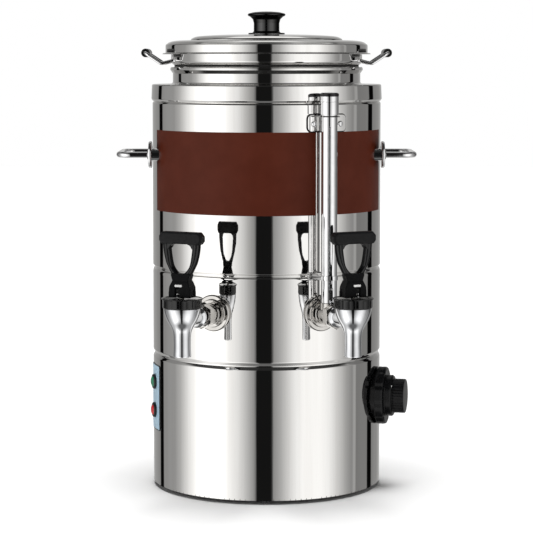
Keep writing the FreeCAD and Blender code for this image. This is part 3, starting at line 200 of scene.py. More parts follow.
MAT["green"] = lens_material("green_lens", (0.004, 0.16, 0.075), (0.008, 0.26, 0.12))
MAT["red"] = lens_material("red_lens", (0.45, 0.006, 0.010), (0.62, 0.012, 0.016))


def glass_material():
    m, nt, b = new_material("clear_tube")
    f = noise(nt, 120.0, 2.0)
    nt.links.new(two_tone(nt, f, (0.86, 0.89, 0.90), (0.93, 0.95, 0.96)), b.inputs["Base Color"])
    g = noise(nt, 260.0, 2.0, 0.5, (1, 1, 1), 2.0)
    nt.links.new(spread(nt, g, 0.04, 0.09), b.inputs["Roughness"])
    b.inputs["Transmission Weight"].default_value = 0.55
    b.inputs["IOR"].default_value = 1.46
    return m


MAT["glass"] = glass_material()

SLOT_MATERIAL = {
    "polished_steel": "mirror", "satin_steel": "satin", "brown_film": "film", "black_plastic": "black",
    "black_grip": "grip", "black_paint": "paint", "pale_blue": "blue", "green_lens": "green", "red_lens": "red", "rubber": "rubber",
    "lagging": "lagging", "gauge_tube": "glass", "zinc": "zinc", "brass": "brass", "ceramic": "ceramic",
    "seal": "seal",
}

# ------------------------------------------------------------------ mesh helpers
# Shapes are lists (points, faces) in millimetres; round ones turn about Z.


def rounded(pts, closed=False):
    """Polyline with rounded corners: each point is (x, y) or (x, y, radius)."""
    out, n = [], len(pts)
    for i in range(n):
        x, y = pts[i][0], pts[i][1]
        r = pts[i][2] if len(pts[i]) > 2 else 0.0
        if r <= 0 or (not closed and i in (0, n - 1)):
            out.append((x, y))
            continue
        p = Vector((x, y))
        a = Vector(pts[(i - 1) % n][:2]) - p
        b = Vector(pts[(i + 1) % n][:2]) - p
        if a.length < 1e-9 or b.length < 1e-9:
            out.append((x, y))
            continue
        la, lb = a.length, b.length
        a.normalize()
        b.normalize()
        full = a.angle(b)
        if full > math.pi - 0.02:
            out.append((x, y))
            continue
        reach = min(r / math.tan(full / 2), la * 0.499, lb * 0.499)
        r = reach * math.tan(full / 2)
        bis = (a + b).normalized()
        c = p + bis * (r / math.sin(full / 2))
        s = p + a * reach - c
        e = p + b * reach - c
        turn = math.pi - full
        steps = max(2, int(math.ceil(math.degrees(turn) / 13.0)))
        t0 = math.atan2(s.y, s.x)
        dt = math.atan2(e.y, e.x) - t0
        dt = (dt + math.pi) % TAU - math.pi
        for k in range(steps + 1):
            t = t0 + dt * k / steps
            out.append((c.x + r * math.cos(t), c.y + r * math.sin(t)))
    return out


def swage(r1, z1, r2, z2, n=16):
    """Rolled step between two walls: a soft S that meets both walls squarely."""
    return [(r1 + (r2 - r1) * (0.5 - 0.5 * math.cos(math.pi * k / n)), z1 + (z2 - z1) * k / n) for k in range(n + 1)]


def spline(points, per=6):
    """Smooth curve through rows of numbers, with the given steps between each two."""
    out = []
    for i in range(len(points) - 1):
        p0, p1 = points[max(i - 1, 0)], points[i]
        p2, p3 = points[i + 1], points[min(i + 2, len(points) - 1)]
        for k in range(per):
            t = k / per
            out.append([0.5 * (2 * b + (c - a) * t + (2 * a - 5 * b + 4 * c - d) * t * t + (-a + 3 * b - 3 * c + d) * t ** 3)
                        for a, b, c, d in zip(p0, p1, p2, p3)])
    out.append(list(points[-1]))
    return out


def arc(cx, cy, r, a0, a1, n=10):
    return [(cx + r * math.cos(math.radians(a0 + (a1 - a0) * k / n)),
             cy + r * math.sin(math.radians(a0 + (a1 - a0) * k / n))) for k in range(n + 1)]


def clean(profile, eps=1e-4):
    out = []
    for p in profile:
        if not out or abs(p[0] - out[-1][0]) > eps or abs(p[1] - out[-1][1]) > eps:
            out.append(p)
    return out


def lathe(profile, seg=96, closed=True, shape=None, start=0.0, phases=None):
    """Surface of revolution; closed joins the last point to the first, else ends lie on the axis.
    shape(angle, r, z) may change the radius round the turn."""
    profile = clean(profile)
    if closed and abs(profile[0][0] - profile[-1][0]) < 1e-4 and abs(profile[0][1] - profile[-1][1]) < 1e-4:
        profile = profile[:-1]
    angles = phases or [start + TAU * k / seg for k in range(seg)]
    seg = len(angles)
    pts, rows = [], []
    for r, z in profile:
        if r < 1e-6:
            rows.append([len(pts)] * seg)
            pts.append((0.0, 0.0, z))
        else:
            row = []
            for t in angles:
                rr = shape(t, r, z) if shape else r
                row.append(len(pts))
                pts.append((rr * math.cos(t), rr * math.sin(t), z))
            rows.append(row)
    faces = []
    last = len(rows) if closed else len(rows) - 1
    for i in range(last):
        a, b = rows[i], rows[(i + 1) % len(rows)]
        for k in range(seg):
            l = (k + 1) % seg
            f = [a[k], a[l], b[l], b[k]]
            f = [v for j, v in enumerate(f) if v not in f[:j]]
            if len(f) > 2:
                faces.append(f)
    return pts, faces


def sweep(path, radius, seg=20, closed=False, squash=1.0, round_ends=False):
    """Rod along a path, with flat ends when open (round_ends is not used); radius may be a list."""
    P = [Vector(p) for p in path]
    n = len(P)
    rad = radius if isinstance(radius, (list, tuple)) else [radius] * n
    tangents = []
    for i in range(n):
        a = P[(i - 1) % n] if (closed or i > 0) else P[i]
        b = P[(i + 1) % n] if (closed or i < n - 1) else P[i]
        tangents.append((b - a).normalized())
    ref = Vector((0, 0, 1)) if abs(tangents[0].z) < 0.9 else Vector((0, 1, 0))
    u = (ref - tangents[0] * ref.dot(tangents[0])).normalized()
    pts, faces = [], []
    for i in range(n):
        u = (u - tangents[i] * u.dot(tangents[i])).normalized()
        w = tangents[i].cross(u)
        for k in range(seg):
            t = TAU * k / seg
            p = P[i] + (u * math.cos(t) + w * (math.sin(t) * squash)) * rad[i]
            pts.append(tuple(p))
    rings = n if closed else n - 1
    for i in range(rings):
        j = (i + 1) % n
        for k in range(seg):
            l = (k + 1) % seg
            faces.append([i * seg + k, i * seg + l, j * seg + l, j * seg + k])
    if not closed:
        faces.append([k for k in range(seg)][::-1])
        faces.append([(n - 1) * seg + k for k in range(seg)])
    return pts, faces


def bent(points, bends, step=8.0):
    """Path with its inner corners bent to radii."""
    P = [Vector(p) for p in points]
    out = [P[0]]
    for i in range(1, len(P) - 1):
        a = (P[i - 1] - P[i]).normalized()
        b = (P[i + 1] - P[i]).normalized()
        full = a.angle(b)
        r = bends[i - 1]
        reach = r / math.tan(full / 2)
        c = P[i] + (a + b).normalized() * (r / math.sin(full / 2))
        s, e = P[i] + a * reach - c, P[i] + b * reach - c
        steps = max(4, int(math.degrees(math.pi - full) / step))
        for k in range(steps + 1):
            out.append(c + s.normalized().slerp(e.normalized(), k / steps) * r)
    out.append(P[-1])
    fine = [out[0]]
    for p in out[1:]:
        gap = (p - fine[-1]).length
        cuts = int(gap // 12)
        q = fine[-1]
        for k in range(1, cuts + 1):
            fine.append(q.lerp(p, k / (cuts + 1)))
        fine.append(p)
    return fine


def prism(outline, thick, axis="y"):
    """Outline in x and z, given depth thick centred on y = 0."""
    n = len(outline)
    pts = [(x, -thick / 2, z) for x, z in outline] + [(x, thick / 2, z) for x, z in outline]
    faces = [list(range(n)), list(range(2 * n - 1, n - 1, -1))]
    for k in range(n):
        l = (k + 1) % n
        faces.append([k, k + n, l + n, l])
    return pts, faces


def block(x0, x1, y0, y1, z0, z1):
    pts = [(x, y, z) for x in (x0, x1) for y in (y0, y1) for z in (z0, z1)]
    faces = [[0, 1, 3, 2], [4, 6, 7, 5], [0, 4, 5, 1], [2, 3, 7, 6], [0, 2, 6, 4], [1, 5, 7, 3]]
    return pts, faces


def hexagon(flats, s0, s1, chamfer=0.9, bore=0.0, seg=96):
    """Hexagon bar with turned chamfers on its corners, along Z from s0 to s1."""
    ap = flats / 2
    corner = ap / math.cos(math.pi / 6)

    def shape(t, r, z):
        hexr = ap / math.cos((t + math.pi / 6) % (math.pi / 3) - math.pi / 6)
        return min(hexr, r)

    prof = [(ap * 0.965, s0), (corner + 0.02, s0 + chamfer), (corner + 0.02, s1 - chamfer), (ap * 0.965, s1)]
    mid = []
    for k in range(5):
        mid.append((ap * 0.965 + (corner + 0.02 - ap * 0.965) * k / 4, s0 + chamfer * (k / 4)))
    for k in range(4, -1, -1):
        mid.append((ap * 0.965 + (corner + 0.02 - ap * 0.965) * k / 4, s1 - chamfer * (k / 4)))
    if bore:
        mid = [(bore, s0)] + mid + [(bore, s1)]
        return lathe(mid, seg, True, lambda t, r, z: r if r <= bore + 1e-6 else shape(t, r, z))
    return lathe([(0, s0)] + mid + [(0, s1)], seg, False, lambda t, r, z: shape(t, r, z))


def wrapped(outline_top, outline_low, s0, s1, r0, r1, cols=40, rows=6):
    """Plate bent round the body: s is arc length at r0, between two edges z(s)."""
    pts, faces = [], []
    ss = []
    for k in range(cols + 1):
        t = k / cols
        ss.append(s0 + (s1 - s0) * (0.5 - 0.5 * math.cos(math.pi * t)))
    for side, r in enumerate((r1, r0)):
        for s in ss:
            a = s / r0
            z0, z1 = outline_low(s), outline_top(s)
            for j in range(rows + 1):
                z = z0 + (z1 - z0) * j / rows
                pts.append((r * math.sin(a), -r * math.cos(a), z))
    w = rows + 1
    half = (cols + 1) * w
    for k in range(cols):
        for j in range(rows):
            a = k * w + j
            faces.append([a, a + w, a + w + 1, a + 1])
            faces.append([half + a, half + a + 1, half + a + w + 1, half + a + w])
    for k in range(cols):
        a, b = k * w, (k + 1) * w
        faces.append([a, half + a, half + b, b])
        a, b = k * w + rows, (k + 1) * w + rows
        faces.append([a, b, half + b, half + a])
    for j in range(rows):
        a = j
        faces.append([a, a + 1, half + a + 1, half + a])
        a = cols * w + j
        faces.append([a, half + a, half + a + 1, a + 1])
    return pts, faces


def moved(geo, m):
    pts, faces = geo
    return [tuple(m @ Vector(p)) for p in pts], faces


def shift(geo, x=0.0, y=0.0, z=0.0):
    return moved(geo, Matrix.Translation((x, y, z)))


OUT = Matrix.Rotation(math.radians(90), 4, "X")  # Z to -Y: own axis points at the front
RIGHT = Matrix.Rotation(math.radians(90), 4, "Y")  # Z to +X
LEFT = Matrix.Rotation(math.radians(-90), 4, "Y")


def radial(geo, z=0.0, x=0.0):
    """Turned along Z, laid along a line out of the front at height z."""
    return moved(geo, Matrix.Translation((x, 0, z)) @ OUT)


def about(geo, azimuth):
    return moved(geo, Matrix.Rotation(math.radians(azimuth), 4, "Z"))


def mesh_of(name, geos, sharp=30.0, weld=1e-4):
    me = bpy.data.meshes.new(name)
    pts, faces = [], []
    for g in geos:
        base = len(pts)
        pts += g[0]
        faces += [[i + base for i in f] for f in g[1]]
    me.from_pydata(pts, [], faces)
    bm = bmesh.new()
    bm.from_mesh(me)
    bmesh.ops.remove_doubles(bm, verts=bm.verts, dist=weld)
    bmesh.ops.dissolve_degenerate(bm, edges=bm.edges, dist=1e-5)
    bmesh.ops.recalc_face_normals(bm, faces=bm.faces)
    shade(bm, sharp)
    bm.to_mesh(me)
    bm.free()
    return me


def shade(bm, sharp=30.0):
    lim = math.radians(sharp)
    for f in bm.faces:
        f.smooth = True
    for e in bm.edges:
        e.smooth = not (len(e.link_faces) == 2 and e.calc_face_angle(0.0) > lim)


def apply_all(o):
    """Applies an object's modifiers to its mesh."""
    dg = bpy.context.evaluated_depsgraph_get()
    me = bpy.data.meshes.new_from_object(o.evaluated_get(dg), depsgraph=dg)
    o.modifiers.clear()
    o.data = me


def piece(name, geos, material, body, replaces=(), azimuth=None, sharp=30.0, bevel=0.0,
          bevel_segments=3, bevel_angle=35.0, weighted=True, fused=0.0, smooth=0, cutters=()):
    if azimuth is not None:
        geos = [about(g, azimuth) for g in geos]
        cutters = [about(g, azimuth) for g in cutters]
    if fused:
        me = fuse_voxels(name, geos, fused, smooth, cutters)
    else:
        me = mesh_of(name, geos, sharp)
    me.transform(Matrix.Scale(MM, 4))
    o = bpy.data.objects.new(name, me)
    bpy.context.scene.collection.objects.link(o)
    me.materials.clear()
    me.materials.append(MAT[material])
    if bevel:
        b = o.modifiers.new("edges", "BEVEL")
        b.width = bevel * MM
        b.segments = bevel_segments
        b.limit_method = "ANGLE"
        b.angle_limit = math.radians(bevel_angle)
        b.harden_normals = False
        apply_all(o)
        bm = bmesh.new()
        bm.from_mesh(o.data)
        shade(bm, sharp)
        bm.to_mesh(o.data)
        bm.free()
    if weighted and not fused:
        w = o.modifiers.new("normals", "WEIGHTED_NORMAL")
        w.keep_sharp = True
        w.weight = 60
    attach(o, body)
    if replaces:
        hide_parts(*replaces)
    return o


def fuse_voxels(name, geos, size, smooth, cutters=()):
    """One skin round several closed shapes, as a moulding has, in millimetres."""
    me = mesh_of(name + "_raw", geos)
    o = bpy.data.objects.new(name + "_raw", me)
    bpy.context.scene.collection.objects.link(o)
    r = o.modifiers.new("skin", "REMESH")
    r.mode = "VOXEL"
    r.voxel_size = size
    r.adaptivity = 0.0
    apply_all(o)
    for cutter in cutters:
        c = bpy.data.objects.new(name + "_cut", mesh_of(name + "_cut", [cutter]))
        bpy.context.scene.collection.objects.link(c)
        b = o.modifiers.new("cut", "BOOLEAN")
        b.operation = "DIFFERENCE"
        b.solver = "EXACT"
        b.object = c
        apply_all(o)
        bpy.data.objects.remove(c)
    if cutters:
        r = o.modifiers.new("skin", "REMESH")
        r.mode = "VOXEL"
        r.voxel_size = size
        apply_all(o)
    if smooth:
        s = o.modifiers.new("smooth", "SMOOTH")
        s.factor = 0.5
        s.iterations = smooth
        apply_all(o)
    me = o.data.copy()
    bpy.data.objects.remove(o)
    for p in me.polygons:
        p.use_smooth = True
    return me


BODY = "urn_body"
R = 115.0

# ------------------------------------------------------------------ outer shells
low_up = spline([(115.0, 130.2), (114.95, 130.55), (114.8, 131.0), (114.5, 131.6), (114.15, 132.2), (113.8, 132.8), (113.45, 133.35), (113.2, 133.7), (113.06, 133.95), (113.03, 134.2)], 4)
housing = ([(108, 3.7), (114.75, 3.7), (115.0, 3.95)] + low_up
           + [(113.0, 134.5), (112.0, 134.5), (112.0, 133.7), (114.0, 130.2), (114.0, 4.7), (108, 4.7)])
piece("base_housing_shell", [lathe(housing, 288)], "mirror", BODY, ["base_housing"], sharp=50)

mid_up = spline([(115.0, 216.2), (114.93, 217.3), (114.72, 218.6), (114.3, 219.7), (113.75, 220.35), (113.4, 220.7), (113.3, 220.95)], 4)
low_down = spline([(113.0, 134.6), (113.02, 134.8), (113.15, 135.05), (113.5, 135.65), (113.88, 136.35), (114.25, 137.05), (114.58, 137.65), (114.85, 138.2), (114.97, 138.6), (115.0, 139.1)], 3)
top_up = spline([(115.0, 385.4), (114.96, 385.8), (114.82, 386.2), (114.55, 386.75), (114.27, 387.27), (114.06, 387.55), (113.76, 387.75), (113.56, 387.9), (113.5, 388.0)], 3)
jacket = ([(112.0, 134.5), (113.0, 134.5)] + low_down
          + mid_up + swage(113.3, 221.8, 115.0, 224.2)
          + top_up + [(112.6, 388.0), (113.9, 385.0), (114.0, 224.9), (112.4, 221.9), (112.3, 220.5), (114.0, 217.3),
             (114.0, 138.1), (112.0, 135.3)])
piece("outer_jacket_shell", [lathe(jacket, 288)], "mirror", BODY, ["outer_jacket"], sharp=50)

collar = ([(112.6, 388.0)] + spline([(113.5, 388.0), (113.5, 388.1), (113.7, 388.2), (114.5, 388.25), (114.8, 388.45), (115.15, 388.93), (115.5, 389.41), (115.85, 389.9), (116.03, 390.25), (116.1, 390.8), (116.1, 391.0)], 3)
          + rounded([(116.1, 391.0), (115.5, 404.9, 1.5), (95.1, 404.9, 0.25), (95.1, 403.9, 0.25), (114.4, 403.9, 0.8),
                     (115.1, 390.9)]))
piece("top_collar_shell", [lathe(collar, 288)], "mirror", BODY, ["top_collar"], sharp=50)

foot = spline([(99.8, 404.96), (98.8, 405.0), (97.6, 405.1), (96.6, 405.3), (95.8, 405.62), (95.25, 406.0), (94.88, 406.45), (94.64, 406.95), (94.53, 407.4), (94.5, 407.8)], 3)
neck = ([(94.5, 396.0), (94.5, 404.92), (99.8, 404.94)] + foot
        + rounded([(94.5, 407.8), (94.5, 415.7, 0.2), (94.75, 416.1, 0.2), (96.95, 419.15, 0.5),
                   (97.1, 419.9, 0.4), (96.85, 421.1, 1.0), (96.5, 421.9, 0.25), (96.0, 422.1, 0.2), (93.0, 422.15), (92.9, 422.3), (92.0, 422.3),
                   (91.7, 417.3), (91.7, 416.0, 0.6), (93.5, 414.6, 0.6), (93.5, 396.0)]))
piece("neck_ring_shell", [lathe(neck, 256)], "mirror", BODY, ["neck_ring"], sharp=50)

# ------------------------------------------------------------------ label band
def label(name, a0, a1, node):
    s0, s1 = math.radians(a0) * R, math.radians(a1) * R
    piece(name, [wrapped(lambda s: 360.0, lambda s: 280.0, s0, s1, 114.99, 115.25, 96, 4)], "film", BODY, [node],
          sharp=40)


label("label_left", -71.0, 24.3, "label_panel_left")
label("label_right", 30.6, 76.3, "label_panel_right")

# ------------------------------------------------------------------ carrying handles
for sx, side in ((1, "right"), (-1, "left")):
    path = bent([(99 * sx, -38, 335.2), (147 * sx, -38, 335.2), (147 * sx, 38, 335.2), (99 * sx, 38, 335.2)], [12, 12], 6)
    piece("carrying_handle_" + side, [sweep(path, 2.95, 32)], "chrome", BODY, ["side_handle_" + side],
          sharp=50)
rose = []
for m in (RIGHT, LEFT):
    for sy in (1, -1):
        prof = rounded([(2.97, 104), (6.5, 104), (6.5, 114.0), (13.4, 114.0, 0.9), (13.4, 115.6, 0.5), (12.6, 117.0, 0.8),
                        (5.6, 117.0, 0.5), (4.3, 118.4, 0.8), (2.97, 118.4)], True)
        rose.append(moved(lathe(prof, 64), Matrix.Translation((0, 38 * sy, 335.4)) @ m))
piece("carrying_handle_roses", rose, "chrome", BODY, ["side_handle_rosettes"], sharp=50)

# ------------------------------------------------------------------ taps
MILK = -26.3
TAPS = (("milk", MILK), ("water", 27.0))
flanges = []
for which, az in TAPS:
    prof = rounded([(8.0, 111.0), (14.0, 111.0), (14.0, 114.2), (17.75, 113.6, 0.4), (17.75, 117.2, 0.6), (16.6, 118.2, 0.8),
                    (13.6, 118.3, 0.6), (13.2, 119.4, 0.4), (13.2, 121.2, 0.5), (8.0, 121.2)], True)
    flanges.append(about(radial(lathe(prof, 96), 185.5), az))
piece("tap_wall_flange_pair", flanges, "fitting", BODY, ["tap_wall_flanges"], sharp=50)

shank = rounded([(4.5, 95), (8.0, 95), (8.0, 121.2), (10.5, 121.2), (10.5, 123.6, 0.4), (9.6, 124.2, 0.4), (9.6, 125.6, 0.4),
                 (10.5, 126.2, 0.4), (10.5, 131.6, 0.7), (8.0, 131.6), (8.0, 158), (4.5, 158)], True)
piece("milk_shank", [radial(lathe(shank, 72), 185.5)], "fitting", BODY, ["milk_tap_shank"],
      azimuth=MILK, sharp=45)
tee = rounded([(4.5, 95), (8.0, 95), (8.0, 121.2), (10.5, 121.2), (10.5, 123.6, 0.4), (9.8, 124.1, 0.3), (9.8, 125.0, 0.3),
               (10.5, 125.6, 0.4), (10.5, 137.6, 0.7), (8.0, 137.6), (8.0, 158), (4.5, 158)], True)
branch = rounded([(5.0, 187.0), (9.0, 187.0), (9.0, 197.5, 0.6), (5.0, 197.5)], True)
piece("water_shank", [radial(lathe(tee, 72), 185.5), shift(lathe(branch, 64), 0, -132.5, 0)], "fitting", BODY,
      ["water_tap_shank"], azimuth=27.0, sharp=45)
piece("coupling_nuts", [about(radial(hexagon(22.0, 133.0, 142.6, 1.2, 8.0), 185.5), MILK),
                        about(radial(hexagon(22.0, 138.2, 147.8, 1.2, 8.0), 185.5), 27.0)],
      "fitting", BODY, ["tap_coupling_nuts"], sharp=28)

spout_prof = (rounded([(5.5, 152.4), (6.3, 151.2, 0.4), (8.1, 151.15, 0.35), (8.5, 152.2, 0.5), (8.1, 160.0, 8.0)])
              + [(8.10, 163.0), (8.16, 167.0), (8.30, 171.0), (8.62, 173.6), (9.15, 175.6), (9.90, 177.4), (10.75, 179.1),
                 (11.7, 180.8), (12.75, 182.6), (13.75, 184.4), (14.65, 186.3), (15.45, 188.2), (16.15, 190.1),
                 (16.75, 192.2), (17.15, 194.0), (17.4, 195.6), (17.4, 196.9), (17.2, 197.2), (15.4, 197.2), (15.4, 202.8), (13.8, 202.8),
                 (13.8, 190.0), (12.6, 185.5), (9.2, 178.4), (8.6, 176.4), (5.5, 175.0)])
boss_prof = rounded([(8.0, 148.0), (9.0, 148.0, 0.3), (10.3, 148.9, 0.5), (10.3, 151.0, 0.5), (9.0, 152.4, 0.6), (8.3, 153.6, 1.0),
                     (8.3, 166.0), (8.0, 166.0)], True)
for which, az in TAPS:
    piece(which + "_tap_spout", [shift(lathe(spout_prof, 96), 0, -178.5, 0), radial(lathe(boss_prof, 64), 185.5)],
          "spout", BODY, [which + "_tap_body"], azimuth=az, sharp=50)


def scallop(phase):
    """Eight shallow petals round the cap, with a narrow groove between each two."""
    def shape(t, r, z):
        if r < 17.0 or z > 205.6:
            return r
        u = ((t + phase) % (TAU / 8)) / (TAU / 8)
        d = min(u, 1 - u) * (TAU / 8) * 18.5  # distance from the groove along the wall
        cut = 1.35 * math.exp(-(d / 0.85) ** 4) + 0.55 * (d / 7.26) ** 2
        return r - cut * min(1.0, max(0.0, (z - 197.4) / 0.8)) * min(1.0, max(0.0, (205.7 - z) / 0.7))
    return shape


bonnet_prof = rounded([(15.5, 197.4), (17.9, 197.4, 0.5), (18.6, 198.2, 0.6)]) + [(18.6, z) for z in (198.8, 200, 201.4, 202.8, 203.8, 204.5, 205.0, 205.4)] \
    + rounded([(18.6, 205.7), (19.55, 205.9, 0.3), (19.6, 206.7, 0.4), (18.6, 207.0, 0.4), (17.8, 206.4, 0.4), (2.3, 206.4), (2.3, 203.0), (15.5, 203.0)])
for which, az in TAPS:
    phase = math.radians(17 if which == "milk" else -17)
    # the groove nearest the front stands at -90 degrees plus the phase
    g = lathe(bonnet_prof, 192, True, scallop(math.radians(90) - phase))
    piece(which + "_tap_cap", [shift(g, 0, -178.5, 0)], "cap", BODY, [which + "_tap_bonnet"],
          azimuth=az, sharp=50)

# the plunger's stem and head show a little between bonnet and handle
for which, az in TAPS:
    prof = rounded([(0, 175.4), (4.6, 175.4, 0.3), (5.0, 176.8, 0.2), (7.2, 177.0, 0.4), (7.2, 180.2, 0.6), (2.0, 180.2), (2.0, 209.3),
                    (3.6, 209.3, 0.3), (3.6, 211.4, 0.5), (0, 211.4)])
    piece(which + "_tap_valve", [shift(lathe(prof, 48, False), 0, -178.5, 0)], "seal", which + "_tap_plunger",
          [which + "_tap_plunger"], azimuth=az, sharp=50)

# the return spring of each tap: a fixed coil round the plunger's stem
for which, az in TAPS:
    coil = []
    for k in range(24 * 9 + 1):
        t = k / 24.0
        # the end turns lie close, the others stand apart
        rise = 1.25 * min(t, 1.0) + (21.4 - 2.5) / 7.0 * min(7.0, max(0.0, t - 1.0)) + 1.25 * max(0.0, t - 8.0)
        coil.append((5.3 * math.cos(TAU * t), 5.3 * math.sin(TAU * t), 180.8 + rise))
    o = piece(which + "_tap_coil_spring", [shift(sweep(coil, 0.58, 10), 0, -178.5, 0)], "chrome", BODY,
              [which + "_tap_spring"], azimuth=az, sharp=60)
    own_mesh(o)

# ------------------------------------------------------------------ tap handles
def mirror_x(pts):
    return pts + [(-p[0],) + tuple(p[1:]) for p in reversed(pts)]


def leg(rows, seg=28):
    """Moulded leg: rows of outer x, inner x, z, half depth, with a flattish front and round flanks."""
    rows = spline(rows, 6)
    pts, faces = [], []
    for a, b, z, d in rows:
        c, h = (a + b) / 2, (a - b) / 2
        for k in range(seg):
            t = TAU * k / seg
            ct, st = math.cos(t), math.sin(t)
            x = math.copysign(abs(ct) ** 0.95, ct) * h
            y = math.copysign(abs(st) ** 0.90, st) * d
            pts.append((c + x, y, z))
    n = len(rows)
    for i in range(n - 1):
        for k in range(seg):
            l = (k + 1) % seg
            faces.append([i * seg + k, i * seg + l, (i + 1) * seg + l, (i + 1) * seg + k])
    faces.append([k for k in range(seg)][::-1])
    faces.append([(n - 1) * seg + k for k in range(seg)])
    return pts, faces


def hull_of(name_pts):
    """Faceted solid round a handful of corner points."""
    bm = bmesh.new()
    for p in name_pts:
        bm.verts.new(p)
    bmesh.ops.convex_hull(bm, input=bm.verts)
    bmesh.ops.delete(bm, geom=[v for v in bm.verts if not v.link_faces], context="VERTS")
    bm.verts.index_update()
    out = [tuple(v.co) for v in bm.verts], [[v.index for v in f.verts] for f in bm.faces]
    bm.free()
    return out


def handle():
    """Loop handle: bevelled bar across the top, two flaring legs that meet in a web over the block."""
    geos = []
    rows = [(8.4, -1.5, 223.0, 4.0), (9.4, -1.2, 226.0, 4.2), (10.6, 0.9, 229.2, 4.35), (11.5, 4.2, 231.1, 4.4), (13.8, 8.0, 235.5, 4.4),
            (16.0, 9.6, 239.8, 4.4), (17.7, 10.6, 245.6, 4.4), (18.5, 11.1, 249.2, 4.4), (19.2, 11.7, 254.6, 4.4), (19.4, 11.9, 259.5, 4.4)]
    for sx in (1, -1):
        geos.append(leg([(r[0] * sx, r[1] * sx, r[2], r[3]) for r in rows]))
    # the bar: an octagon in its front view, its front and back faces bevelled all round
    for z0, z1, half, deep in ((257.2, 269.2, 22.75, 9.0),):
        out = [(22.75, 260.6), (22.75, 265.2), (19.4, 269.0), (-19.4, 269.0), (-22.75, 265.2), (-22.75, 260.6), (-20.4, 257.6), (20.4, 257.6)]
        inn = [(20.9, 261.3), (20.9, 264.3), (18.5, 267.3), (-18.5, 267.3), (-20.9, 264.3), (-20.9, 261.3), (-19.4, 259.4), (19.4, 259.4)]
        pts = [(x, y, z) for y in (-3.3, 3.3) for x, z in out] + [(x, y, z) for y in (-4.7, 4.7) for x, z in inn]
        geos.append(hull_of(pts))
    # web at the foot of the opening
    web = rounded(mirror_x([(8.0, 222.2, 0.5), (9.2, 225.8, 3.0), (10.2, 229.0, 2.0), (8.2, 230.9, 1.0), (4.9, 230.2, 1.5), (1.6, 229.8, 1.5)]), True)
    geos.append(prism(web, 8.6))
    # rounded corners under the bar
    for sx in (1, -1):
        geos.append(prism([(sx * x, z) for x, z in ((13.0, 252.6), (11.5, 254.2), (11.1, 255.2), (10.2, 256.3), (9.0, 257.0), (7.4, 257.4), (7.4, 258.6), (13.0, 258.6))], 8.0))
    return geos


for which, az in TAPS:
    y0 = -178.5
    geos = [shift(g, 0, y0, 0) for g in handle()]
    # tapering block under the web, with a sloping shoulder
    yb = y0 - 6.2 + 6.5
    f, r = yb - 6.2, yb + 6.2
    geos.append(hull_of([(x, y, z) for x0, y0_, y1, z in ((8.3, f + 1.6, r - 0.8, 223.3), (8.9, f + 0.7, r - 0.4, 221.2), (10.9, f, r, 217.4),
                                                         (11.4, f, r, 212.0), (11.4, f + 0.1, r, 207.4)) for x in (x0, -x0) for y in (y0_, y1)]))
    k = -1.0 if which == "milk" else 1.0
    cutters = [block(-2.7, 2.7, -181.2, -166.0, 205.0, 209.6), block(-4.4, 4.4, -183.3, -166.0, 208.8, 215.8)]
    # channel down the block's face, below the mark, and a shallow panel in each side
    cutters.append(block(k * 2.6 - 2.1, k * 2.6 + 2.1, f - 1.0, f + 1.3, 206.0, 216.9))
    for sx in (1, -1):
        cutters.append(block(min(sx * 10.4, sx * 12.6), max(sx * 10.4, sx * 12.6), f + 2.4, r - 2.6, 206.0, 215.0))
    grip = piece(which + "_tap_grip", geos, "handle", which + "_tap_handle", [which + "_tap_handle"], azimuth=az,
                 fused=0.36, smooth=4, cutters=cutters)
    # the bar has a fine grain, the legs are smooth, the foot is duller
    grip.data.materials.append(MAT["bar"])
    grip.data.materials.append(MAT["foot"])
    for face in grip.data.polygons:
        if face.center.z > 0.2574:
            face.material_index = 1
        elif face.center.z < 0.2305:
            face.material_index = 2
    mx = -0.9 if which == "milk" else 1.1
    mark = rounded([(mx - 3.7, 217.6, 0.5), (mx + 3.7, 217.6, 0.5), (mx + 3.7, 219.6, 0.5), (mx - 3.7, 219.6, 0.5)], True)
    # two small white dots down the channel in the block's face: painted highlights, not parts of the handle
    glint_dots = []
    for z, rr in ((210.6, 0.62), (207.9, 0.5)):
        q = rounded([(0, 0.0), (rr, 0.0), (rr, 0.7, 0.25), (0, 0.85)])
        glint_dots.append(shift(radial(lathe(q, 20, False), z), k * 2.6, f + 1.3, 0))
    piece(which + "_tap_mark_and_glint_dots", [shift(prism(mark, 0.9), 0, f + 0.15, 0)] + glint_dots, "mark", which + "_tap_handle", (),
          azimuth=az, sharp=40, bevel=0.12)

# ------------------------------------------------------------------ level gauge
GY = -132.5
slot = 2 * math.asin(1.0 / 7.75)


